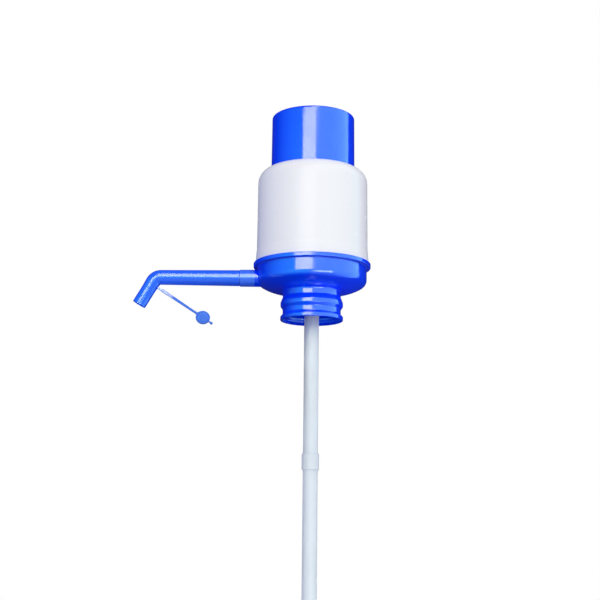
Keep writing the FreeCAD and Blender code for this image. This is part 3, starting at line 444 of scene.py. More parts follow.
class Graph:
    """The nodes of one material or of the world."""

    def __init__(self, owner: bpy.types.Material | bpy.types.World) -> None:
        """Empties the owner's node tree and gets ready to fill it.

        Args:
            owner: whose nodes they are.
        """
        owner.use_nodes = True
        self.tree = owner.node_tree
        self.tree.nodes.clear()

    @staticmethod
    def _socket(sockets: Iterable[bpy.types.NodeSocket], key: str | int) -> bpy.types.NodeSocket:
        """The socket with a place, identifier or name.

        Args:
            sockets: a node's inputs or outputs.
            key: the place, identifier or name.

        Returns:
            The socket.
        """
        listed = list(sockets)
        if isinstance(key, int):
            return listed[key]
        named = [socket for socket in listed if socket.identifier == key]
        return (named or [socket for socket in listed if socket.name == key])[0]

    def add(self, kind: str, sockets: dict | None = None, out: str | int = 0,
            **settings: str) -> Signal | None:
        """Adds any node.

        Args:
            kind: the node's type, after "ShaderNode".
            sockets: a value or a Signal for each input, by name, identifier or place.
            out: which output to hand back.
            settings: the node's properties, set first.

        Returns:
            The chosen output, if the node has one.
        """
        node = self.tree.nodes.new(f"ShaderNode{kind}")
        for name, value in settings.items():
            setattr(node, name, value)
        for key, value in (sockets or {}).items():
            socket = self._socket(node.inputs, key)
            if isinstance(value, Signal):
                self.tree.links.new(value.socket, socket)
            else:
                socket.default_value = value
        return Signal(self, self._socket(node.outputs, out)) if len(node.outputs) else None

    def position(self, stretch: Colour | None = None, turn: Colour = (0, 0, 0)) -> Signal:
        """Object coordinates, which are the frame's own metres, through a Mapping node if they are stretched.

        Args:
            stretch: scale along each axis.
            turn: rotation about each axis, in radians.

        Returns:
            The coordinates.
        """
        place = self.add("TexCoord", out="Object")
        if stretch is None:
            return place
        return self.add("Mapping", {"Vector": place, "Scale": stretch, "Rotation": turn})

    def noise(self, place: Signal, grain: tuple[float, float, float]) -> Signal:
        """Cloudy noise from 0 to 1, with a mean of a half."""
        sockets = dict(zip(("Vector", "Scale", "Detail", "Distortion"), (place, *grain)))
        return self.add("TexNoise", sockets)

    def away_from(self, place: Signal, point: Sequence[float]) -> Signal:
        """Distance of the coordinates from a point, in metres."""
        return self.add("VectorMath", {0: place, 1: tuple(point)}, out="Value", operation="DISTANCE")

    def height(self, place: Signal) -> Signal:
        """The Z of coordinates or of a direction."""
        return self.add("SeparateXYZ", {0: place}, out="Z")

    def mix(self, share: Signal | float, first: Signal | Colour, second: Signal | Colour) -> Signal:
        """Colour between two others.

        Args:
            share: 0 gives the first, 1 the second.
            first: a colour or a Signal.
            second: a colour or a Signal.

        Returns:
            The mixed colour.
        """
        ends = [end if isinstance(end, Signal) else (*end, 1.0) for end in (first, second)]
        sockets = {"Factor_Float": share, "A_Color": ends[0], "B_Color": ends[1]}
        return self.add("Mix", sockets, out="Result_Color", data_type="RGBA")

    def bump(self, *layers: tuple[Signal, float]) -> Signal:
        """Normal of a surface that carries relief.

        Args:
            layers: each height from 0 to 1, and how many metres 1 stands for.

        Returns:
            The normal.
        """
        sockets = {"Strength": 1.0}
        for height, depth in layers:
            sockets |= {"Height": height, "Distance": depth}
            sockets["Normal"] = self.add("Bump", sockets)
        return sockets["Normal"]

    def end(self, surface: Signal, kind: str = "OutputMaterial") -> None:
        """Ends the graph in a shader."""
        self.add(kind, {"Surface": surface})

    def shade(self, **sockets: Signal | float | tuple) -> None:
        """Ends the graph in a Principled shader, whose inputs are given with underscores for spaces."""
        inputs = {name.replace("_", " "): value for name, value in sockets.items()}
        self.end(self.add("BsdfPrincipled", inputs))


# ---------------------------------------------------------------- finishes
def tint(colour: Colour, factor: float) -> Colour:
    """The colour, lighter or darker by a factor."""
    return tuple(min(channel * factor, 1.0) for channel in colour)


# Painted highlight near the tether's pin. On the strap it also stands for whitening where the strap flexes.
@dataclass(frozen=True)
class PaintedHighlight:
    """Painted highlight: plastic paler round a point, fully up to one distance, and not at all from another.
    """

    point: Sequence[float]
    palest: float
    unchanged: float
    pale: Colour = (0.44, 0.5, 0.88)
    mottle: float = 0.08

    def over(self, graph: Graph, colour: Signal) -> Signal:
        """The colour, paler and slightly mottled near the point.

        Args:
            graph: the material's graph.
            colour: the colour elsewhere.

        Returns:
            The colour.
        """
        place = graph.position()
        near = graph.away_from(place, self.point).rise(self.unchanged, self.palest)
        mottled = near * (1 - self.mottle + self.mottle * graph.noise(place, Grain.HIGHLIGHT_MOTTLE))
        return graph.mix(mottled, colour, self.pale)


class Recipe:
    """A finish, which knows how to fill the graph of its own material."""

    def material(self, name: str) -> bpy.types.Material:
        """The finish as a Blender material.

        Args:
            name: what the material is called.

        Returns:
            The material.
        """
        made = bpy.data.materials.new(name)
        self.fill(Graph(made))
        return made

    def fill(self, graph: Graph) -> None:
        """Adds the finish's nodes to an empty graph."""
        raise NotImplementedError


@dataclass(frozen=True)
class MouldedPlastic(Recipe):
    """Glossy injection-moulded plastic: faint flow clouds, orange peel, wiped-on hairlines and rubbed edges.

    A rubbed edge is a height and a radius, and a groove darkened with painted shade is two heights and a
    radius.
    """

    colour: Colour
    roughness: float = 0.12
    drift: float = 0.05
    smudge: float = 0.06
    peel: float = 2.5e-6
    waviness: float = 60e-6
    gloss: float = 0.5
    hairline_stretch: Colour = (1, 1, 7)
    hairline_turn: Colour = (0.5, 0.35, 0.2)
    hairline_share: float = 0.03
    hairline_rough: float = 0.04
    rub_colour: Colour = (0.12, 0.26, 0.95)
    rub_edges: tuple[Span, ...] = ()
    rub_height: Span = (0.2 * MM, 1.1 * MM)
    rub_inward: Span = (0.8 * MM, 2.5 * MM)
    rub_share: float = 0.25
    rub_rough: float = 0.15
    dust: float = 0.08
    dust_colour: Colour = (0.62, 0.62, 0.6)
    dust_rough: float = 0.5
    # Painted shade in the groove under the bead: where it lies, how soft its edges are, and its colour,
    # share, roughness and mottle.
    groove: tuple[float, float, float] | None = None
    groove_blur: float = 0.3 * MM
    groove_shade: Colour = (0.004, 0.02, 0.25)
    groove_shade_share: float = 0.7
    groove_shade_rough: float = 0.45
    groove_shade_mottle: float = 0.3
    painted_highlight: PaintedHighlight | None = None

    def fill(self, graph: Graph) -> None:
        """Lays clouds, hairlines, rubbed edges, dust and the groove's painted shade over the plain colour.

        Args:
            graph: the empty graph of its material.
        """
        place = graph.position()
        from_axis = graph.away_from(graph.position((1, 1, 0)), (0, 0, 0))
        patch = graph.noise(place, Grain.HANDLED).rise(0.35, 0.7)
        askew = graph.position(self.hairline_stretch, self.hairline_turn)
        hairline = graph.noise(askew, Grain.HAIRLINE).rise(0.68, 0.8)
        speck = graph.noise(place, Grain.SPECK)
        facing_up = graph.height(graph.add("TexCoord", out="Normal"))
        dust = facing_up.rise(0.55, 0.98) * graph.noise(place, Grain.DUST).rise(0.4, 0.75) * self.dust
        dark, pale = tint(self.colour, 1 - self.drift), tint(self.colour, 1 + self.drift)
        colour = graph.mix(graph.noise(place, Grain.FLOW), dark, pale)
        colour = graph.mix(hairline * self.hairline_share, colour, self.rub_colour)
        rough = self.roughness + patch * self.smudge + hairline * self.hairline_rough
        if self.rub_edges:
            rubbed = self.rubbed(graph, from_axis) * patch * speck.rise(0.45, 0.7)
            colour = graph.mix(rubbed * self.rub_share, colour, self.rub_colour)
            rough = rough + rubbed * self.rub_rough
        colour = graph.mix(dust, colour, self.dust_colour)
        rough = rough + dust * self.dust_rough
        # Painted highlight near the tether's pin.
        if self.painted_highlight:
            colour = self.painted_highlight.over(graph, colour)
        # Painted shade: the groove is darkened as if it were shaded.
        if self.groove:
            groove_shade_mask = self.in_groove(graph, from_axis) * (1 - self.groove_shade_mottle + self.groove_shade_mottle * speck)
            colour = graph.mix(groove_shade_mask * self.groove_shade_share, colour, self.groove_shade)
            rough = rough + groove_shade_mask * self.groove_shade_rough
        relief = graph.bump((graph.noise(place, Grain.WAVES), self.waviness), (speck, self.peel))
        graph.shade(Base_Color=colour, Roughness=rough, IOR=1.54, Specular_IOR_Level=self.gloss,
                    Normal=relief)

    def rubbed(self, graph: Graph, from_axis: Signal) -> Signal:
        """1 at the rubbed edges, falling to 0 above, below and inside them.

        Args:
            graph: the material's graph.
            from_axis: distance from the pump's axis.

        Returns:
            The largest of the edges' shares.
        """
        rubbed = None
        for edge, reach in self.rub_edges:
            band = abs(graph.height(graph.position()) - edge).rise(*reversed(self.rub_height))
            near_rim = from_axis.rise(reach - self.rub_inward[1], reach - self.rub_inward[0])
            rubbed = rubbed.largest(band * near_rim) if rubbed else band * near_rim
        return rubbed

    def in_groove(self, graph: Graph, from_axis: Signal) -> Signal:
        """Where the groove's painted shade goes: 1 in the groove, falling to 0 just outside it.

        Args:
            graph: the material's graph.
            from_axis: distance from the pump's axis.

        Returns:
            The share.
        """
        low, high, reach = self.groove
        height = graph.height(graph.position())
        above, below = height.rise(low - self.groove_blur, low), height.rise(high + self.groove_blur, high)
        return above * below * from_axis.rise(reach + self.groove_blur, reach)


@dataclass(frozen=True)
class MilkyTube(Recipe):
    """Extruded natural polyethylene: cloudy, lets light through, with faint draw lines along it."""

    colour: Colour = (0.88, 0.895, 0.99)
    through: float = 0.35
    roughness: float = 0.36
    gloss: float = 0.25
    cloud_tints: Span = (0.93, 1.04)
    cloud_stretch: Colour = (1, 1, 0.4)
    line_tint: float = 0.8
    line_stretch: Colour = (1, 1, 0.02)
    line_share: float = 0.12
    line_rough: float = 0.12
    line_depth: float = 25e-6

    def fill(self, graph: Graph) -> None:
        """Lays clouds and drawn lines over the plain colour.

        Args:
            graph: the empty graph of its material.
        """
        drawn = graph.noise(graph.position(self.line_stretch), Grain.DRAWN)
        cloud = graph.noise(graph.position(self.cloud_stretch), Grain.MILKY)
        colour = graph.mix(cloud, *(tint(self.colour, factor) for factor in self.cloud_tints))
        colour = graph.mix(drawn.rise(0.5, 0.8) * self.line_share, colour, tint(self.colour, self.line_tint))
        graph.shade(Base_Color=colour, Roughness=self.roughness + drawn * self.line_rough, IOR=1.5,
                    Specular_IOR_Level=self.gloss, Transmission_Weight=self.through,
                    Normal=graph.bump((drawn, self.line_depth)))


class Feel(Enum):
    """How a soft material's surface is built up: grain, relief in metres, roughness."""

    RUBBER = (Grain.RUBBER, 20e-6, 0.45)
    FOAM = (Grain.FOAM, 90e-6, 0.85)
    SILICONE = (Grain.SILICONE, 12e-6, 0.3)
    STRAP = (Grain.STRAP, 2.5e-6, 0.34)


@dataclass(frozen=True)
class SoftPlastic(Recipe):
    """Rubber, foam, silicone or soft polyethylene: satin, a little dusty, with its own fine relief."""

    colour: Colour
    feel: Feel
    cloud_tints: Span = (0.88, 1.1)
    cloud_rough: float = 0.15
    dust: float = 0.1
    dust_colour: Colour = (0.6, 0.6, 0.58)
    dust_rough: float = 0.5
    painted_highlight: PaintedHighlight | None = None

    def fill(self, graph: Graph) -> None:
        """Lays clouds and dust over the plain colour.

        Args:
            graph: the empty graph of its material.
        """
        grain, depth, base = self.feel.value
        place = graph.position()
        cloud = graph.noise(place, Grain.SOFT_CLOUD)
        colour = graph.mix(cloud, *(tint(self.colour, factor) for factor in self.cloud_tints))
        # Painted highlight near the tether's pin, which on the strap also stands for flex whitening.
        if self.painted_highlight:
            colour = self.painted_highlight.over(graph, colour)
        dusty = graph.noise(place, Grain.SOFT_DUST).rise(0.5, 0.8) * self.dust
        colour = graph.mix(dusty, colour, self.dust_colour)
        rough = base + cloud * self.cloud_rough + dusty * self.dust_rough
        relief = graph.bump((cloud, depth * 2), (graph.noise(place, grain), depth))
        graph.shade(Base_Color=colour, Roughness=rough, IOR=1.5, Normal=relief)


@dataclass(frozen=True)
class PlainSteel(Recipe):
    """Stainless steel as it leaves the heading machine: fine turned lines, slightly darker in patches."""

    colour: Colour = (0.62, 0.62, 0.63)
    roughness: float = 0.22
    patch_tints: Span = (0.8, 1.1)
    patch_rough: float = 0.1
    line_stretch: Colour = (1, 1, 14)
    line_rough: float = 0.2
    line_depth: float = 10e-6

    def fill(self, graph: Graph) -> None:
        """Lays patches and turned lines over the plain metal.

        Args:
            graph: the empty graph of its material.
        """
        lines = graph.noise(graph.position(self.line_stretch), Grain.LATHE)
        patch = graph.noise(graph.position(), Grain.STEEL)
        colour = graph.mix(patch, *(tint(self.colour, factor) for factor in self.patch_tints))
        rough = self.roughness + lines * self.line_rough + patch * self.patch_rough
        relief = graph.bump((lines, self.line_depth))
        graph.shade(Base_Color=colour, Metallic=1.0, Roughness=rough, Normal=relief)


class Finish(Enum):
    """Every finish on the pump, by the record's name for its material."""

    BLUE_MOULDING = "blue_moulding"
    LIGHT_BLUE_MOULDING = "light_blue_moulding"
    SPOUT_BLUE = "spout_blue"
    TETHER_BLUE = "tether_blue"
    WHITE_MOULDING = "white_moulding"
    MILKY_TUBE = "milky_tube"
    NATURAL_PLASTIC = "natural_plastic"
    BELLOWS_RUBBER = "bellows_rubber"
    WHITE_SEAL = "white_seal"
    BLACK_RUBBER = "black_rubber"
    RED_SILICONE = "red_silicone"
    SCREW_STEEL = "screw_steel"


class Palette:
    """Makes each finish once, and puts it on pieces."""

    def __init__(self) -> None:
        """Describes every finish, with its rubbed edges placed from the frame."""
        ledge = float(corners_of("housing")[0][2])
        cap_edge = (float(corners_of("press_cap")[1][2]) - 0.6 * MM, radius_of("press_cap"))
        bead_edge = (ledge + 0.7 * MM, radius_of("base_bowl"))
        skirt_edge = (ledge + 1.4 * MM, radius_of("housing"))
        pin = joint("tether_swing", "pos_m")
        self.recipes = {
            # The blue moulding's groove under the bead is darkened with painted shade.
            Finish.BLUE_MOULDING: MouldedPlastic(
                (0.0004, 0.045, 0.95), dust=0.03, rub_edges=(cap_edge, bead_edge),
                groove=(25.5 * MM, 26.25 * MM, 55.8 * MM)),
            Finish.LIGHT_BLUE_MOULDING: MouldedPlastic((0.045, 0.16, 0.93), roughness=0.18),
            # Spout ear and strap root are paler near the pin: a painted highlight, which on the strap also
            # stands for flex whitening.
            Finish.SPOUT_BLUE: MouldedPlastic(
                (0.018, 0.12, 0.95), roughness=0.16, waviness=20e-6, peel=0.8e-6, dust=0.02,
                painted_highlight=PaintedHighlight(pin, 4.2 * MM, 6.4 * MM)),
            Finish.TETHER_BLUE: SoftPlastic(
                (0.05, 0.16, 0.72), Feel.STRAP, dust=0.03, painted_highlight=PaintedHighlight(pin, 7 * MM, 14 * MM)),
            Finish.WHITE_MOULDING: MouldedPlastic(
                (0.785, 0.785, 0.82), roughness=0.22, drift=0.012, gloss=0.08, rub_colour=(0.6, 0.6, 0.62),
                rub_edges=(skirt_edge,), dust=0.12),
            Finish.MILKY_TUBE: MilkyTube(),
            Finish.NATURAL_PLASTIC: MouldedPlastic(
                (0.78, 0.79, 0.76), roughness=0.34, rub_colour=(0.6, 0.6, 0.58), dust=0.1),
            Finish.BELLOWS_RUBBER: SoftPlastic((0.7, 0.73, 0.76), Feel.RUBBER),
            Finish.WHITE_SEAL: SoftPlastic((0.8, 0.81, 0.8), Feel.FOAM),
            Finish.BLACK_RUBBER: SoftPlastic((0.018, 0.018, 0.02), Feel.RUBBER, dust=0.06),
            Finish.RED_SILICONE: SoftPlastic((0.5, 0.055, 0.04), Feel.SILICONE, dust=0.04),
            Finish.SCREW_STEEL: PlainSteel(),
        }
        self.made: dict[Finish, bpy.types.Material] = {}

    def material(self, finish: Finish) -> bpy.types.Material:
        """The material of a finish, made when first asked for.

        Args:
            finish: which finish.

        Returns:
            The material.
        """
        if finish not in self.made:
            self.made[finish] = self.recipes[finish].material(finish.value)
        return self.made[finish]

    def paint_nodes(self, finish: Finish, *nodes: str) -> None:
        """Puts a finish on CAD nodes.

        Args:
            finish: which finish.
            nodes: the nodes' names.
        """
        for node in nodes:
            for slot in frame["nodes"][node].material_slots:
                slot.material = self.material(finish)
            LOG.info("%s: frame piece in %s", node, finish.value)

    def dress(self, piece: bpy.types.Object, finish: Finish, body: str, *replaced: str) -> bpy.types.Object:
        """Finishes a new piece and fastens it to its body.

        Args:
            piece: the new object.
            finish: its finish.
            body: the body that it moves with, or an empty name to leave it unattached.
            replaced: CAD nodes that it stands for.

        Returns:
            The piece.
        """
        piece.data.materials.append(self.material(finish))
        if body:
            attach(piece, body)
        if replaced:
            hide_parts(*replaced)
        LOG.info("%s: %d faces in %s", piece.name, len(piece.data.polygons), finish.value)
        return piece


# ---------------------------------------------------------------- the pump's sub-assemblies
@dataclass
class SubAssembly:
    """Pieces that belong together. Those that the frame gives are listed under their finish."""

    palette: Palette
    frame_pieces: ClassVar[dict[Finish, tuple[str, ...]]] = {}

    def build(self) -> None:
        """Dresses the frame's pieces."""
        for finish, nodes in self.frame_pieces.items():
            self.palette.paint_nodes(finish, *nodes)


@dataclass
class PressHead(SubAssembly):
    """The blue cap that the palm pushes, and the plate, clamp and valve that hang inside it."""

    frame_pieces = {
        Finish.BLUE_MOULDING: ("press_cap",),
        Finish.NATURAL_PLASTIC: ("bellows_top_plate", "top_clamp_ring"),
        Finish.SCREW_STEEL: ("plate_screws",),
        Finish.RED_SILICONE: ("inlet_flap",),
    }
    gate_radius: float = 1.7 * MM
    gate_lip: float = 0.935 * MM
    gate_pit: float = 0.68 * MM
    gate_height: float = 0.3 * MM
    dish_depth: float = 0.7 * MM

    def build(self) -> None:
        """Dresses the frame's pieces and adds the mark of the mould's gate at the middle of the dish."""
        super().build()
        self.palette.dress(self.gate_mark(), Finish.BLUE_MOULDING, "press_button")

    def gate_mark(self) -> bpy.types.Object:
        """Low round stub with a broken-off centre: an outline of radius and height turned about the axis.

        Returns:
            The stub.
        """
        radius, height = self.gate_radius, self.gate_height
        floor = corners_of("press_cap")[1][2] - self.dish_depth
        outline = rounded([
            (0, floor - height), (radius, floor - height), (radius, floor + height, height / 2),
            (self.gate_lip, floor + height, height / 2), (self.gate_pit, floor + height / 3),
            (0, floor + height / 4)])
        return Shape("press_cap_gate_mark").add(turned(outline, around=48)).finish()


@dataclass
class Housing(SubAssembly):
    """The tall white shell."""

    frame_pieces = {Finish.WHITE_MOULDING: ("housing",)}


@dataclass
class Base(SubAssembly):
    """The blue bowl with its collar, and the foam ring that seals on the jug's rim."""

    frame_pieces = {Finish.BLUE_MOULDING: ("base_bowl",)}
    ring_width: float = 6.15 * MM
    bead_count: int = 3
    bead_steps: int = 16
    bead_depth: float = 0.45 * MM
    edge: float = 0.5 * MM

    def build(self) -> None:
        """Dresses the bowl and replaces the plain ring by a beaded one."""
        super().build()
        self.palette.dress(self.gasket(), Finish.WHITE_SEAL, "pump_body", "neck_gasket")

    def gasket(self) -> bpy.types.Object:
        """Foam ring whose sealing face is pressed into rounded beads: a cosine wave across the ring's width.

        Returns:
            The ring.
        """
        low, high = corners_of("neck_gasket")
        outer = radius_of("neck_gasket")
        inner, shoulder = outer - self.ring_width, low[2] + self.bead_depth
        share = np.linspace(0, 1, self.bead_steps * self.bead_count + 1)
        wave = self.bead_depth / 2 * (1 - np.cos(FULL_TURN * (self.bead_count * share + 0.5)))
        face = np.stack([outer - self.ring_width * share, low[2] + wave], -1)
        top = rounded([
            (inner, shoulder), (inner, high[2], self.edge), (outer, high[2], self.edge), (outer, shoulder)])
        outline = np.concatenate([face, top[1:-1]])
        return Shape("neck_gasket_foam").add(turned(outline, around=128)).finish(sharp=60)


@dataclass
class AirPump(SubAssembly):
    """Valve deck, bellows, clamps and their fasteners."""

    frame_pieces = {
        Finish.NATURAL_PLASTIC: ("valve_deck", "bellows_clamp_ring"),
        Finish.SCREW_STEEL: ("deck_screws", "clamp_screws"),
        Finish.BLACK_RUBBER: ("deck_seal",),
        Finish.RED_SILICONE: ("outlet_flap",),
    }
    folds: int = 10
    fold_depth: float = 7.5 * MM
    wall: float = 1.8 * MM
    flange: float = 1.6 * MM
    plate_inset: float = 1.5 * MM
    top_flange_width: float = 14.0 * MM
    crest_round: float = 1.7 * MM
    root_round: float = 0.7 * MM
    rim_round: float = 0.4 * MM
    bore_round: float = 0.3 * MM

    def build(self) -> None:
        """Dresses the frame's pieces and replaces the straight-sided bellows by a soft one."""
        super().build()
        folded = self.palette.dress(self.bellows(), Finish.BELLOWS_RUBBER, "pump_body", "bellows")
        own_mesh(folded)

    def bellows(self) -> bpy.types.Object:
        """Folded tube: a zigzag between root and crest radius, rounded at each fold and turned about Z.

        Returns:
            The tube, with a flange at each end.
        """
        low, high = (corner[2] for corner in corners_of("bellows"))
        flange_r = radius_of("bellows")
        crest = radius_of("bellows_top_plate") + self.plate_inset
        bore = crest - self.top_flange_width
        start, end = low + self.flange, high - self.flange
        at_crest = np.arange(2 * self.folds) % 2
        height = np.linspace(start, end, 2 * self.folds)
        outer = np.where(at_crest, crest, crest - self.fold_depth)
        turn = np.where(at_crest, self.crest_round, self.root_round)
        turn_in = np.where(at_crest, self.root_round, self.crest_round)
        turn[[0, -1]] = turn_in[[0, -1]] = self.rim_round
        outside = np.stack([outer, height, turn], -1).tolist()
        inside = np.stack([outer - self.wall, height, turn_in], -1)[::-1].tolist()
        foot = [(crest - self.fold_depth - self.wall, low), (flange_r, low, self.rim_round),
                (flange_r, start, self.rim_round)]
        head = [(crest, high, self.rim_round), (bore, high, self.bore_round), (bore, end, self.bore_round)]
        outline = rounded(foot + outside + head + inside, steps=5)
        return Shape("bellows_folds").add(turned(outline, around=112)).finish(sharp=50)


@dataclass
class WaterWay(SubAssembly):
    """Dip tube, elbow and nipple with their seals."""

    frame_pieces = {
        Finish.MILKY_TUBE: (
            "dip_tube_upper", "dip_tube_middle", "dip_tube_lower", "tube_joiner_upper", "tube_joiner_lower"),
        Finish.NATURAL_PLASTIC: ("water_elbow", "nipple_nut"),
        Finish.LIGHT_BLUE_MOULDING: ("outlet_nipple",),
        Finish.BLACK_RUBBER: ("port_washer", "spout_o_ring"),
    }


@dataclass
class Spout(SubAssembly):
    """The long tube that swivels on the nipple, with its bend, nozzle and the ear that holds the tether."""

    frame_pieces = {Finish.TETHER_BLUE: ("tether_pin",)}
    reach: float = 150.4 * MM
    bend_degrees: float = 60.0
    bend_radius: float = 8.5 * MM
    nozzle_length: float = 30.9 * MM
    tip_length: float = 17.0 * MM
    root_radius: float = 7.73 * MM
    tube_radius: float = 7.15 * MM
    tip_radius: float = 6.75 * MM
    bore_radius: float = 5.5 * MM
    socket_radius: float = 6.28 * MM
    socket_depth: float = 14.4 * MM
    root_round: float = 0.35 * MM
    socket_round: float = 0.3 * MM
    lip_round: float = 0.4 * MM
    station_gap: float = 1.0 * MM
    facets: int = 72
    seam_steps: int = 13
    seam_height: float = 0.09 * MM
    seam_width: float = 0.35 * MM
    seam_end: float = 0.5 * MM
    seam_run_out: float = 1.5 * MM
    ear_facets: int = 96
    ear_thickness: float = 1.5 * MM
    ear_tip: float = 1.5 * MM
    ear_root: float = 2.3 * MM
    ear_hole: float = 0.75 * MM
    ear_edge: float = 0.3 * MM

    def __post_init__(self) -> None:
        """Works out the bend's angle, and how far along the tube it starts, it ends and the mouth is."""
        self.root_x = corners_of("spout")[1][0]
        self.axis_z = joint("spout_swivel", "pos_m")[2]
        self.angle = math.radians(self.bend_degrees)
        tangent = self.bend_radius * math.tan(self.angle / 2)
        self.bend_start = self.root_x + self.reach - tangent
        self.bend_end = self.bend_start + self.bend_radius * self.angle
        self.mouth = self.bend_end + self.nozzle_length - tangent

    def build(self) -> None:
        """Replaces the frame's spout by a smooth one with the mould's seam along it, and dresses the pin."""
        self.palette.dress(self.tube(), Finish.SPOUT_BLUE, "spout_arm", "spout")
        super().build()

    def route(self, along: Array) -> tuple[Array, Array]:
        """The tube's centre line, and the direction out of the bend at right angles to it.

        It runs level to the bend, turns through an arc of the bend's radius and goes straight on to the
        mouth. On the arc the turned angle is the distance along it divided by the radius.

        Args:
            along: distances from the root.

        Returns:
            Points and directions.
        """
        turned_by = np.clip((along - self.bend_start) / self.bend_radius, 0, self.angle)
        beyond = np.maximum(along - self.bend_end, 0)
        level = self.root_x - np.minimum(along, self.bend_start)
        x = level - self.bend_radius * np.sin(turned_by) - beyond * math.cos(self.angle)
        z = self.axis_z - self.bend_radius * (1 - np.cos(turned_by)) - beyond * math.sin(self.angle)
        out = np.stack([-np.sin(turned_by), 0 * x, np.cos(turned_by)], -1)
        return np.stack([x, 0 * x, z], -1), out

    def skin(self) -> Array:
        """Distance and radius of the tube's skin: outside from root to mouth, and back inside.

        Returns:
            Closed outline with rounded edges, whose points stand no further apart than the station gap.
        """
        corner = rounded([
            (0, self.root_radius, self.root_round), (self.bend_start, self.tube_radius),
            (self.bend_end, self.tube_radius), (self.mouth - self.tip_length, self.tip_radius),
            (self.mouth, self.tip_radius, self.lip_round), (self.mouth, self.bore_radius, self.lip_round / 2),
            (self.socket_depth, self.bore_radius), (self.socket_depth, self.socket_radius),
            (0, self.socket_radius, self.socket_round)])
        onward = np.roll(corner, -1, axis=0) - corner
        pieces = np.maximum(np.ceil(np.abs(onward[:, 0]) / self.station_gap).astype(int), 1)
        start, count = np.repeat(np.arange(len(corner)), pieces), np.repeat(pieces, pieces)
        share = (np.arange(len(start)) - np.repeat(np.cumsum(pieces) - pieces, pieces)) / count
        return corner[start] + share[:, None] * onward[start]

    def tube(self) -> bpy.types.Object:
        """The skin carried along the route: centre + r (cos a out + sin a across), with a low seam ridge.

        The ridge stands where the mould's halves met, at the top and bottom of the outside. It adds
        h exp(-(r a / w)^2) to the radius, with a the angle from the seam, and runs out just before the mouth.

        Returns:
            The spout, with its ear.
        """
        line = self.skin()
        near_seam = np.linspace(-3, 3, self.seam_steps) * self.seam_width / self.tube_radius
        angle = np.concatenate([angles(self.facets), near_seam % FULL_TURN, near_seam + math.pi])
        angle = np.unique(np.round(angle, 6))
        off_seam = np.abs(np.sin(angle)) * self.tube_radius / self.seam_width
        off_lip = np.clip((line[:, 0].max() - line[:, 0] - self.seam_end) / self.seam_run_out, 0, 1)
        outside = line[:, 1] > self.socket_radius + self.socket_round
        ridge = self.seam_height * np.exp(-(off_seam**2)) * (outside * off_lip)[:, None]
        centre, out = self.route(line[:, 0])
        spoke = np.cos(angle)[:, None] * out[:, None] + np.sin(angle)[:, None] * Y_AXIS
        tube = centre[:, None] + (line[:, 1:] + ridge)[..., None] * spoke
        return Shape("spout_tube").add(tube).add(self.ear()).finish(sharp=35)

    def ear(self) -> Array:
        """Tapered lug round the tether's pin.

        In the half towards the nozzle the rim is two straight sides and the root's line: in the direction of
        angle a it lies at the least of d / cos(a - n) over the three lines, with d a line's distance from the
        pin and n the direction of its normal. In the other half it is the tip's radius.

        Returns:
            Grid of points.
        """
        pin = joint("tether_swing", "pos_m")
        outward = np.array([math.sin(self.angle), 0, -math.cos(self.angle)])
        corner = np.array([-self.reach, 0, self.axis_z])
        root = float((pin - corner) @ outward) - (self.tube_radius + self.bore_radius) / 2
        slope = math.atan2(self.ear_root - self.ear_tip, root)
        angle = angles(self.ear_facets)
        normals = np.array([math.pi, math.pi / 2 + slope, 3 * math.pi / 2 - slope])
        away = np.array([root, self.ear_tip * math.cos(slope), self.ear_tip * math.cos(slope)])
        facing = np.cos(angle[:, None] - normals)
        lines = np.where(facing > LEAST_COSINE, away / np.maximum(facing, LEAST_COSINE), 1.0).min(1)
        rim = np.where(np.cos(angle) < 0, lines, self.ear_tip)
        place = Place(pin, outward, Y_AXIS, np.cross(outward, Y_AXIS))
        return eyelet(rim, self.ear_hole, self.ear_thickness, self.ear_edge, place)


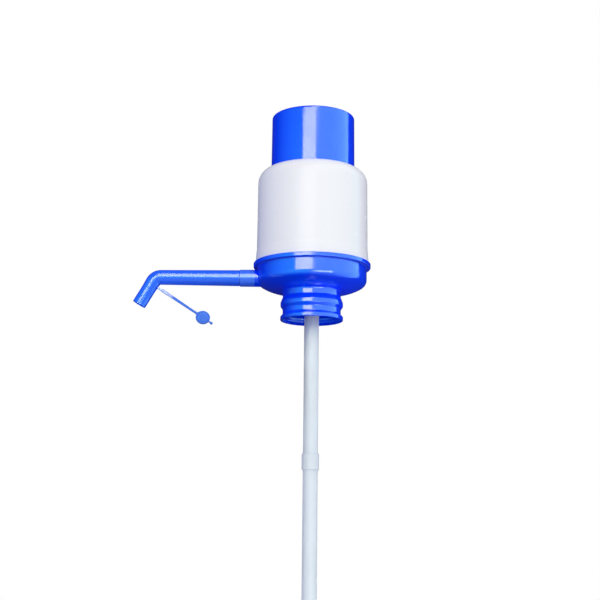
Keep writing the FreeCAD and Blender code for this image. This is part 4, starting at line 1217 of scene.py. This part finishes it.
@dataclass
class DustCap(SubAssembly):
    """The cap that closes the nozzle, its tether and the web that it folds on."""

    drop_degrees: float = 33.3
    lean_degrees: float = 20.0
    length: float = 38.5 * MM
    root_width: float = 1.5 * MM
    end_width: float = 1.05 * MM
    strap_depth: float = 0.9 * MM
    strap_edge: float = 0.35 * MM
    fork_depth: float = 1.9 * MM
    fork_slot: float = 0.9 * MM
    fork_slot_depth: float = 2.5 * MM
    fork_length: float = 5.5 * MM
    fork_taper: float = 2.2 * MM
    cheek_overlap: float = 1.5 * MM
    cheek_facets: int = 72
    eye_hole: float = 0.73 * MM
    cap_radius: float = 6.85 * MM
    cap_thickness: float = 2.2 * MM
    dish_depth: float = 0.25 * MM
    rim_width: float = 0.9 * MM
    dish_slope: float = 0.6 * MM
    dish_round: float = 1.0 * MM
    rim_round: float = 0.4 * MM
    plug_radius: float = 5.425 * MM
    plug_wall: float = 1.2 * MM
    plug_length: float = 3.2 * MM
    small_round: float = 0.3 * MM
    gap: float = 0.3 * MM
    hinge_reach: float = 0.9 * MM
    hinge_width: float = 1.3 * MM
    tab_depth: float = 0.75 * MM
    tab_edge: float = 0.25 * MM
    tab_overlap: float = 2.0 * MM
    neck_width: float = 0.65 * MM
    neck_length: float = 2.95 * MM
    knob_radius: float = 1.35 * MM
    web_overlap: float = 1.2 * MM
    web_offset: float = 0.95 * MM
    web_edge: float = 0.12 * MM
    web_width: Span = (0.85 * MM, 0.2 * MM)
    web_depth: Span = (0.16 * MM, 0.12 * MM)

    def __post_init__(self) -> None:
        """Works out the strap's and the cap's own axes."""
        drop, lean = math.radians(self.drop_degrees), math.radians(self.lean_degrees)
        self.pin = joint("tether_swing", "pos_m")
        self.along = np.array([math.cos(drop), 0, -math.sin(drop)])
        upward = np.array([math.sin(drop), 0, math.cos(drop)])
        self.face = -Y_AXIS * math.cos(lean) + upward * math.sin(lean)
        self.across = np.cross(self.face, self.along)
        self.strap_up = np.cross(self.along, Y_AXIS)
        to_centre = self.length + self.gap + self.hinge_reach + self.cap_radius
        self.cap_centre = self.pin + self.along * to_centre

    def build(self) -> None:
        """Makes the strap, the disc and the web, and fastens the strap and the disc to their bodies."""
        self.palette.dress(self.strap(), Finish.TETHER_BLUE, "tether", "cap_tether")
        self.palette.dress(self.disc(), Finish.TETHER_BLUE, "cap", "dust_cap")
        web = self.palette.dress(self.web(), Finish.TETHER_BLUE, "")
        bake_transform(web)

    def strap(self) -> bpy.types.Object:
        """Tapered bar with a thicker root that splits into two cheeks with an eye each.

        The half depth falls from the fork's to the strap's by a smooth step, t t (3 - 2 t), past the fork.

        Returns:
            The strap.
        """
        at = np.linspace(self.fork_slot_depth, self.length, 90)
        t = np.clip((at - self.fork_length) / self.fork_taper, 0, 1)
        depth = self.fork_depth + (self.strap_depth - self.fork_depth) * t * t * (3 - 2 * t)
        width = np.interp(at, [0, self.length], [self.root_width, self.end_width])
        place = Place(self.pin, self.along, Y_AXIS, self.strap_up)
        shape = Shape("tether_strap").add(bar(at, width, depth, self.strap_edge, place), wrap_rows=False)
        angle = angles(self.cheek_facets)
        side = self.root_width / np.maximum(np.abs(np.sin(angle)), LEAST_COSINE)
        front = (self.fork_slot_depth + self.cheek_overlap) / np.maximum(np.cos(angle), LEAST_COSINE)
        reach = np.where(np.cos(angle) > 0, np.minimum(side, front), self.root_width)
        cheek = self.fork_depth - self.fork_slot
        for way in (-1, 1):
            middle = self.pin + way * (self.fork_slot + cheek / 2) * Y_AXIS
            place = Place(middle, self.along, Y_AXIS, self.strap_up)
            shape.add(eyelet(reach, self.eye_hole, cheek, self.tab_edge, place))
        return shape.finish(sharp=35)

    def disc(self) -> bpy.types.Object:
        """Disc with a hollow plug behind it, a hinge tab and a pull tab with a round end.

        Returns:
            The disc.
        """
        radius, plug, inner = self.cap_radius, self.plug_radius, self.plug_radius - self.plug_wall
        face, back = self.cap_thickness / 2, -self.cap_thickness / 2
        floor, rim, tip = face - self.dish_depth, radius - self.rim_width, back - self.plug_length
        edge, small = self.rim_round, self.small_round
        outline = rounded([
            (0, floor), (rim - self.dish_slope, floor, self.dish_round), (rim, face, self.strap_edge),
            (radius, face, edge), (radius, back, edge), (plug, back, small), (plug - small, tip, edge),
            (inner, tip, edge), (inner, back, small), (0, back)])
        place = Place(self.cap_centre, self.along, self.across, self.face)
        shape = Shape("dust_cap_disc").add(turned(outline, place=place))
        knob_at = radius + self.neck_length
        sideways = Place(self.cap_centre, self.along, self.face, self.across)
        hinge = np.linspace(-radius - self.hinge_reach, -radius + self.tab_overlap, 12)
        neck = np.linspace(radius - self.tab_overlap, knob_at, 12)
        for stations, width in ((hinge, self.hinge_width), (neck, self.neck_width)):
            shape.add(bar(stations, width, self.tab_depth, self.tab_edge, sideways), wrap_rows=False)
        half, knob, edge = self.tab_depth, self.knob_radius, self.strap_edge
        outline = rounded([(0, -half), (knob, -half, edge), (knob, half, edge), (0, half)])
        place = Place(self.cap_centre + self.along * knob_at, self.along, self.across, self.face)
        return shape.add(turned(outline, 40, place)).finish(sharp=35)

    def web(self) -> bpy.types.Object:
        """Thin living hinge over the gap: a flat bar against the front of the strap's end and the cap's tab.

        Its width and depth are each a least value plus an extra one times the square of the distance from its
        middle, counted in overlaps.

        Returns:
            The web.
        """
        at = np.linspace(self.length - self.web_overlap, self.length + self.gap + self.web_overlap, 25)
        square = ((at - (at[0] + at[-1]) / 2) / self.web_overlap) ** 2
        width, depth = (least + extra * square for least, extra in (self.web_width, self.web_depth))
        place = Place(self.pin + self.face * self.web_offset, self.along, self.face, self.across)
        flat = bar(at, width, depth, self.web_edge, place)
        return Shape("tether_web").add(flat, wrap_rows=False).finish(sharp=35)


# ---------------------------------------------------------------- the studio
@dataclass(frozen=True)
class Card:
    """A patch of the sphere round the pump that only reflections see.

    Azimuth is in degrees from the camera's side towards +X, elevation in degrees above level. A fade is the
    share of the card's width or height over which its glow rises from nothing, from its left, lower or upper
    edge.
    """

    name: str
    azimuth: Span
    elevation: Span
    radiance: float
    distance: float
    colour: Colour = WHITE
    lean: float = 0.0
    left_fade: float = 0.0
    low_fade: float = 0.0
    high_fade: float = 0.0


@dataclass
class Studio:
    """Camera, even light, and the cards and black tent that the gloss reflects."""

    lens: float = 74.4
    sensor: float = 36.0
    clip_start: float = 0.01
    eye: tuple[float, float, float] = (-0.0113, -1.170, -0.2312)
    pitch_degrees: float = 10.94
    roll_degrees: float = 0.62
    ambient: Colour = (0.57, 0.595, 0.82)
    lamp_power: float = 29.3
    lamp_size: float = 1.6
    lamp_colour: Colour = (1.0, 0.965, 0.6)
    lamp_spot: tuple[float, float, float] = (0.46, -1.95, 1.05)
    centre: tuple[float, float, float] = (0.0, 0.0, 0.03)
    card_grid: tuple[int, int] = (24, 64)
    cards: tuple[Card, ...] = (
        Card("softbox_low", (-34.5, 0.5), (5, 14.5), 13.9, 2.0, (0.9, 1.0, 1.0)),
        Card("softbox_middle", (-26.5, 8.5), (14.5, 24), 13.9, 2.0, (0.9, 1.0, 1.0), lean=-0.3),
        Card("softbox_high", (-23, 15), (24, 50), 10.0, 2.0, (0.92, 1.0, 1.0)),
        Card("right_panel", (-7, 113), (6, 58), 4.3, 2.4, (0.42, 1.0, 1.0)),
        Card("right_foot", (-7, 113), (-88, 6), 4.1, 2.4, (0.4, 1.0, 1.0), low_fade=0.85),
        Card("low_strip", (5, 43), (-30, -8), 15.0, 2.3, (0.7, 0.95, 1.0)),
        Card("left_panel", (-128, 0), (4, 40), 4.4, 2.6, (0.13, 1.0, 1.0), left_fade=0.8, high_fade=1.0),
        Card("left_foot", (-128, 0), (-80, 4), 4.4, 2.6, (0.13, 1.0, 1.0), left_fade=0.8, low_fade=0.9),
        Card("tent", (-180, 180), (-89.9, 89.9), 0.02, 3.2),
    )
    flag_x: Span = (-0.150, -0.052)
    flag_y: float = -0.03
    flag_z: Span = (-0.05, 0.010)
    flag_radiance: float = 1.1
    flag_colour: Colour = (0.4, 0.95, 1.0)
    shade_x: Span = (-0.085, -0.012)
    shade_y: Span = (-0.1, 0.1)
    shade_z: float = -0.062
    floor_radius: float = 1.5
    floor_rings: Span = (0.05, 1.0)
    floor_colour: Colour = (0.95, 0.935, 0.85)
    floor_fade: Span = (0.7, 1.45)

    def build(self) -> None:
        """Sets up everything that isn't the pump."""
        self.camera()
        self.world()
        self.lamp()
        for card in self.cards:
            self.card(card)
        self.flags()
        self.floor()
        bpy.context.scene.view_settings.view_transform = "Standard"

    def camera(self) -> None:
        """Camera below the pump's middle, tilted up at it."""
        data = bpy.data.cameras.new("camera")
        data.lens, data.sensor_width, data.clip_start = self.lens, self.sensor, self.clip_start
        item = linked("camera", data)
        tilt = Matrix.Rotation(math.radians(90 + self.pitch_degrees), 4, "X")
        roll = Matrix.Rotation(math.radians(self.roll_degrees), 4, "Z")
        item.matrix_world = Matrix.Translation(self.eye) @ tilt @ roll
        bpy.context.scene.camera = item

    def world(self) -> None:
        """Even light for the surfaces, and plain white for what the camera sees or glass and metal show."""
        world = bpy.data.worlds.new("studio")
        bpy.context.scene.world = world
        graph = Graph(world)
        world.cycles.sampling_method = "NONE"
        seen = graph.add("LightPath", out="Is Camera Ray")
        for ray in ("Is Glossy Ray", "Is Transmission Ray"):
            seen = seen.largest(graph.add("LightPath", out=ray))
        light = graph.add("Background", {"Color": graph.mix(seen, self.ambient, WHITE), "Strength": 1.0})
        graph.end(light, "OutputWorld")

    def lamp(self) -> None:
        """One large soft lamp in front, above and to the right."""
        data = bpy.data.lights.new("key", "AREA")
        data.shape, data.size = "DISK", self.lamp_size
        data.energy, data.color = self.lamp_power, self.lamp_colour
        item = linked("key", data)
        spot = Vector(self.lamp_spot)
        turn = (Vector(self.centre) - spot).to_track_quat("-Z", "Y").to_matrix().to_4x4()
        item.matrix_world = Matrix.Translation(spot) @ turn
        item.visible_glossy = False

    def card(self, card: Card) -> None:
        """A glowing or black card: distance times (sin a cos e, -cos a cos e, sin e), leaning with elevation.

        Args:
            card: where it stands and how bright it is.
        """
        rows, columns = self.card_grid
        rise = np.linspace(*card.elevation, rows)[:, None]
        azimuth = np.radians(np.linspace(*card.azimuth, columns))
        azimuth = azimuth + np.radians(card.lean * (rise - card.elevation[0]))
        elevation = np.radians(rise) + 0 * azimuth
        level = np.cos(elevation)
        direction = np.stack([np.sin(azimuth) * level, -np.cos(azimuth) * level, np.sin(elevation)], -1)
        points = np.array(self.centre) + card.distance * direction
        fades = (card.left_fade, card.low_fade, card.high_fade)
        self.sheet(card.name, points, card.colour, card.radiance, fades)

    def flags(self) -> None:
        """A dim card that keeps the softbox off the tether, and a black one that shades the spout."""
        x, z = np.meshgrid(self.flag_x, self.flag_z)
        flag = np.stack([x, np.full_like(x, self.flag_y), z], -1)
        self.sheet("tether_flag", flag, self.flag_colour, self.flag_radiance)
        x, y = np.meshgrid(self.shade_x, self.shade_y)
        shade = np.stack([x, y, np.full_like(x, self.shade_z)], -1)
        self.sheet("spout_shade", shade, BLACK, 0.0, seen_by="diffuse")

    @staticmethod
    def sheet(name: str, points: Array, colour: Colour, radiance: float, fades: Sequence[float] = (),
              seen_by: str = "glossy") -> None:
        """A sheet through a grid of points that only one kind of ray sees.

        Its UV runs from 0 to 1 along the columns and up the rows. The glow is the product of a smooth step
        over each fading share.

        Args:
            name: what it is called.
            points: rows by columns by three.
            colour: its colour.
            radiance: how brightly it glows.
            fades: shares over which the glow rises from the left, lower and upper edge.
            seen_by: the kind of ray.
        """
        rows, columns = points.shape[:2]
        mesh = grid_mesh(name, points, wrap_columns=False)
        share = np.stack(np.meshgrid(np.linspace(0, 1, columns), np.linspace(0, 1, rows)), -1).reshape(-1, 2)
        corner = quads(rows, columns, False, False).ravel()
        mesh.uv_layers.new(name="share").uv.foreach_set("vector", share[corner].ravel())
        item = linked(name, mesh)
        made = bpy.data.materials.new(name)
        made.cycles.emission_sampling = "NONE"
        graph = Graph(made)
        place = graph.add("TexCoord", out="UV")
        across, up = (graph.add("SeparateXYZ", {0: place}, out=axis) for axis in "XY")
        level = 1.0
        for from_edge, fade in zip((across, up, 1 - up), fades):
            level = from_edge.rise(0.0, fade) * level if fade else level
        graph.end(graph.add("Emission", {"Color": graph.mix(level, BLACK, colour), "Strength": radiance}))
        mesh.materials.append(made)
        for ray in ("camera", "diffuse", "glossy", "transmission", "volume_scatter", "shadow"):
            setattr(item, f"visible_{ray}", ray == seen_by)

    def floor(self) -> None:
        """Pale round floor under the tube's foot, which fades out at its rim."""
        foot = float(CAD_BOX[0][2])
        ring = np.concatenate([[0.0], np.linspace(*self.floor_rings, 20)])[:, None] * self.floor_radius
        angle = angles(96)
        points = np.stack([ring * np.cos(angle), ring * np.sin(angle), foot + 0 * ring * angle], -1)
        mesh = grid_mesh("floor", points)
        item = linked("floor", mesh)
        made = bpy.data.materials.new("floor")
        graph = Graph(made)
        fade = graph.away_from(graph.position(), (0, 0, foot)).rise(*self.floor_fade)
        paper = graph.add("BsdfDiffuse", {"Color": (*self.floor_colour, 1.0)})
        graph.end(graph.add("MixShader", {0: fade, 1: paper, 2: graph.add("BsdfTransparent")}))
        mesh.materials.append(made)
        item.visible_glossy = False


def main() -> None:
    """Builds the studio and the pump, piece by piece."""
    logging.basicConfig(level=logging.INFO, format="%(name)s: %(message)s")
    Studio().build()
    palette = Palette()
    for part in (PressHead, Housing, Base, AirPump, WaterWay, Spout, DustCap):
        LOG.info("building %s", part.__name__)
        part(palette).build()


if __name__ == "__main__":
    main()
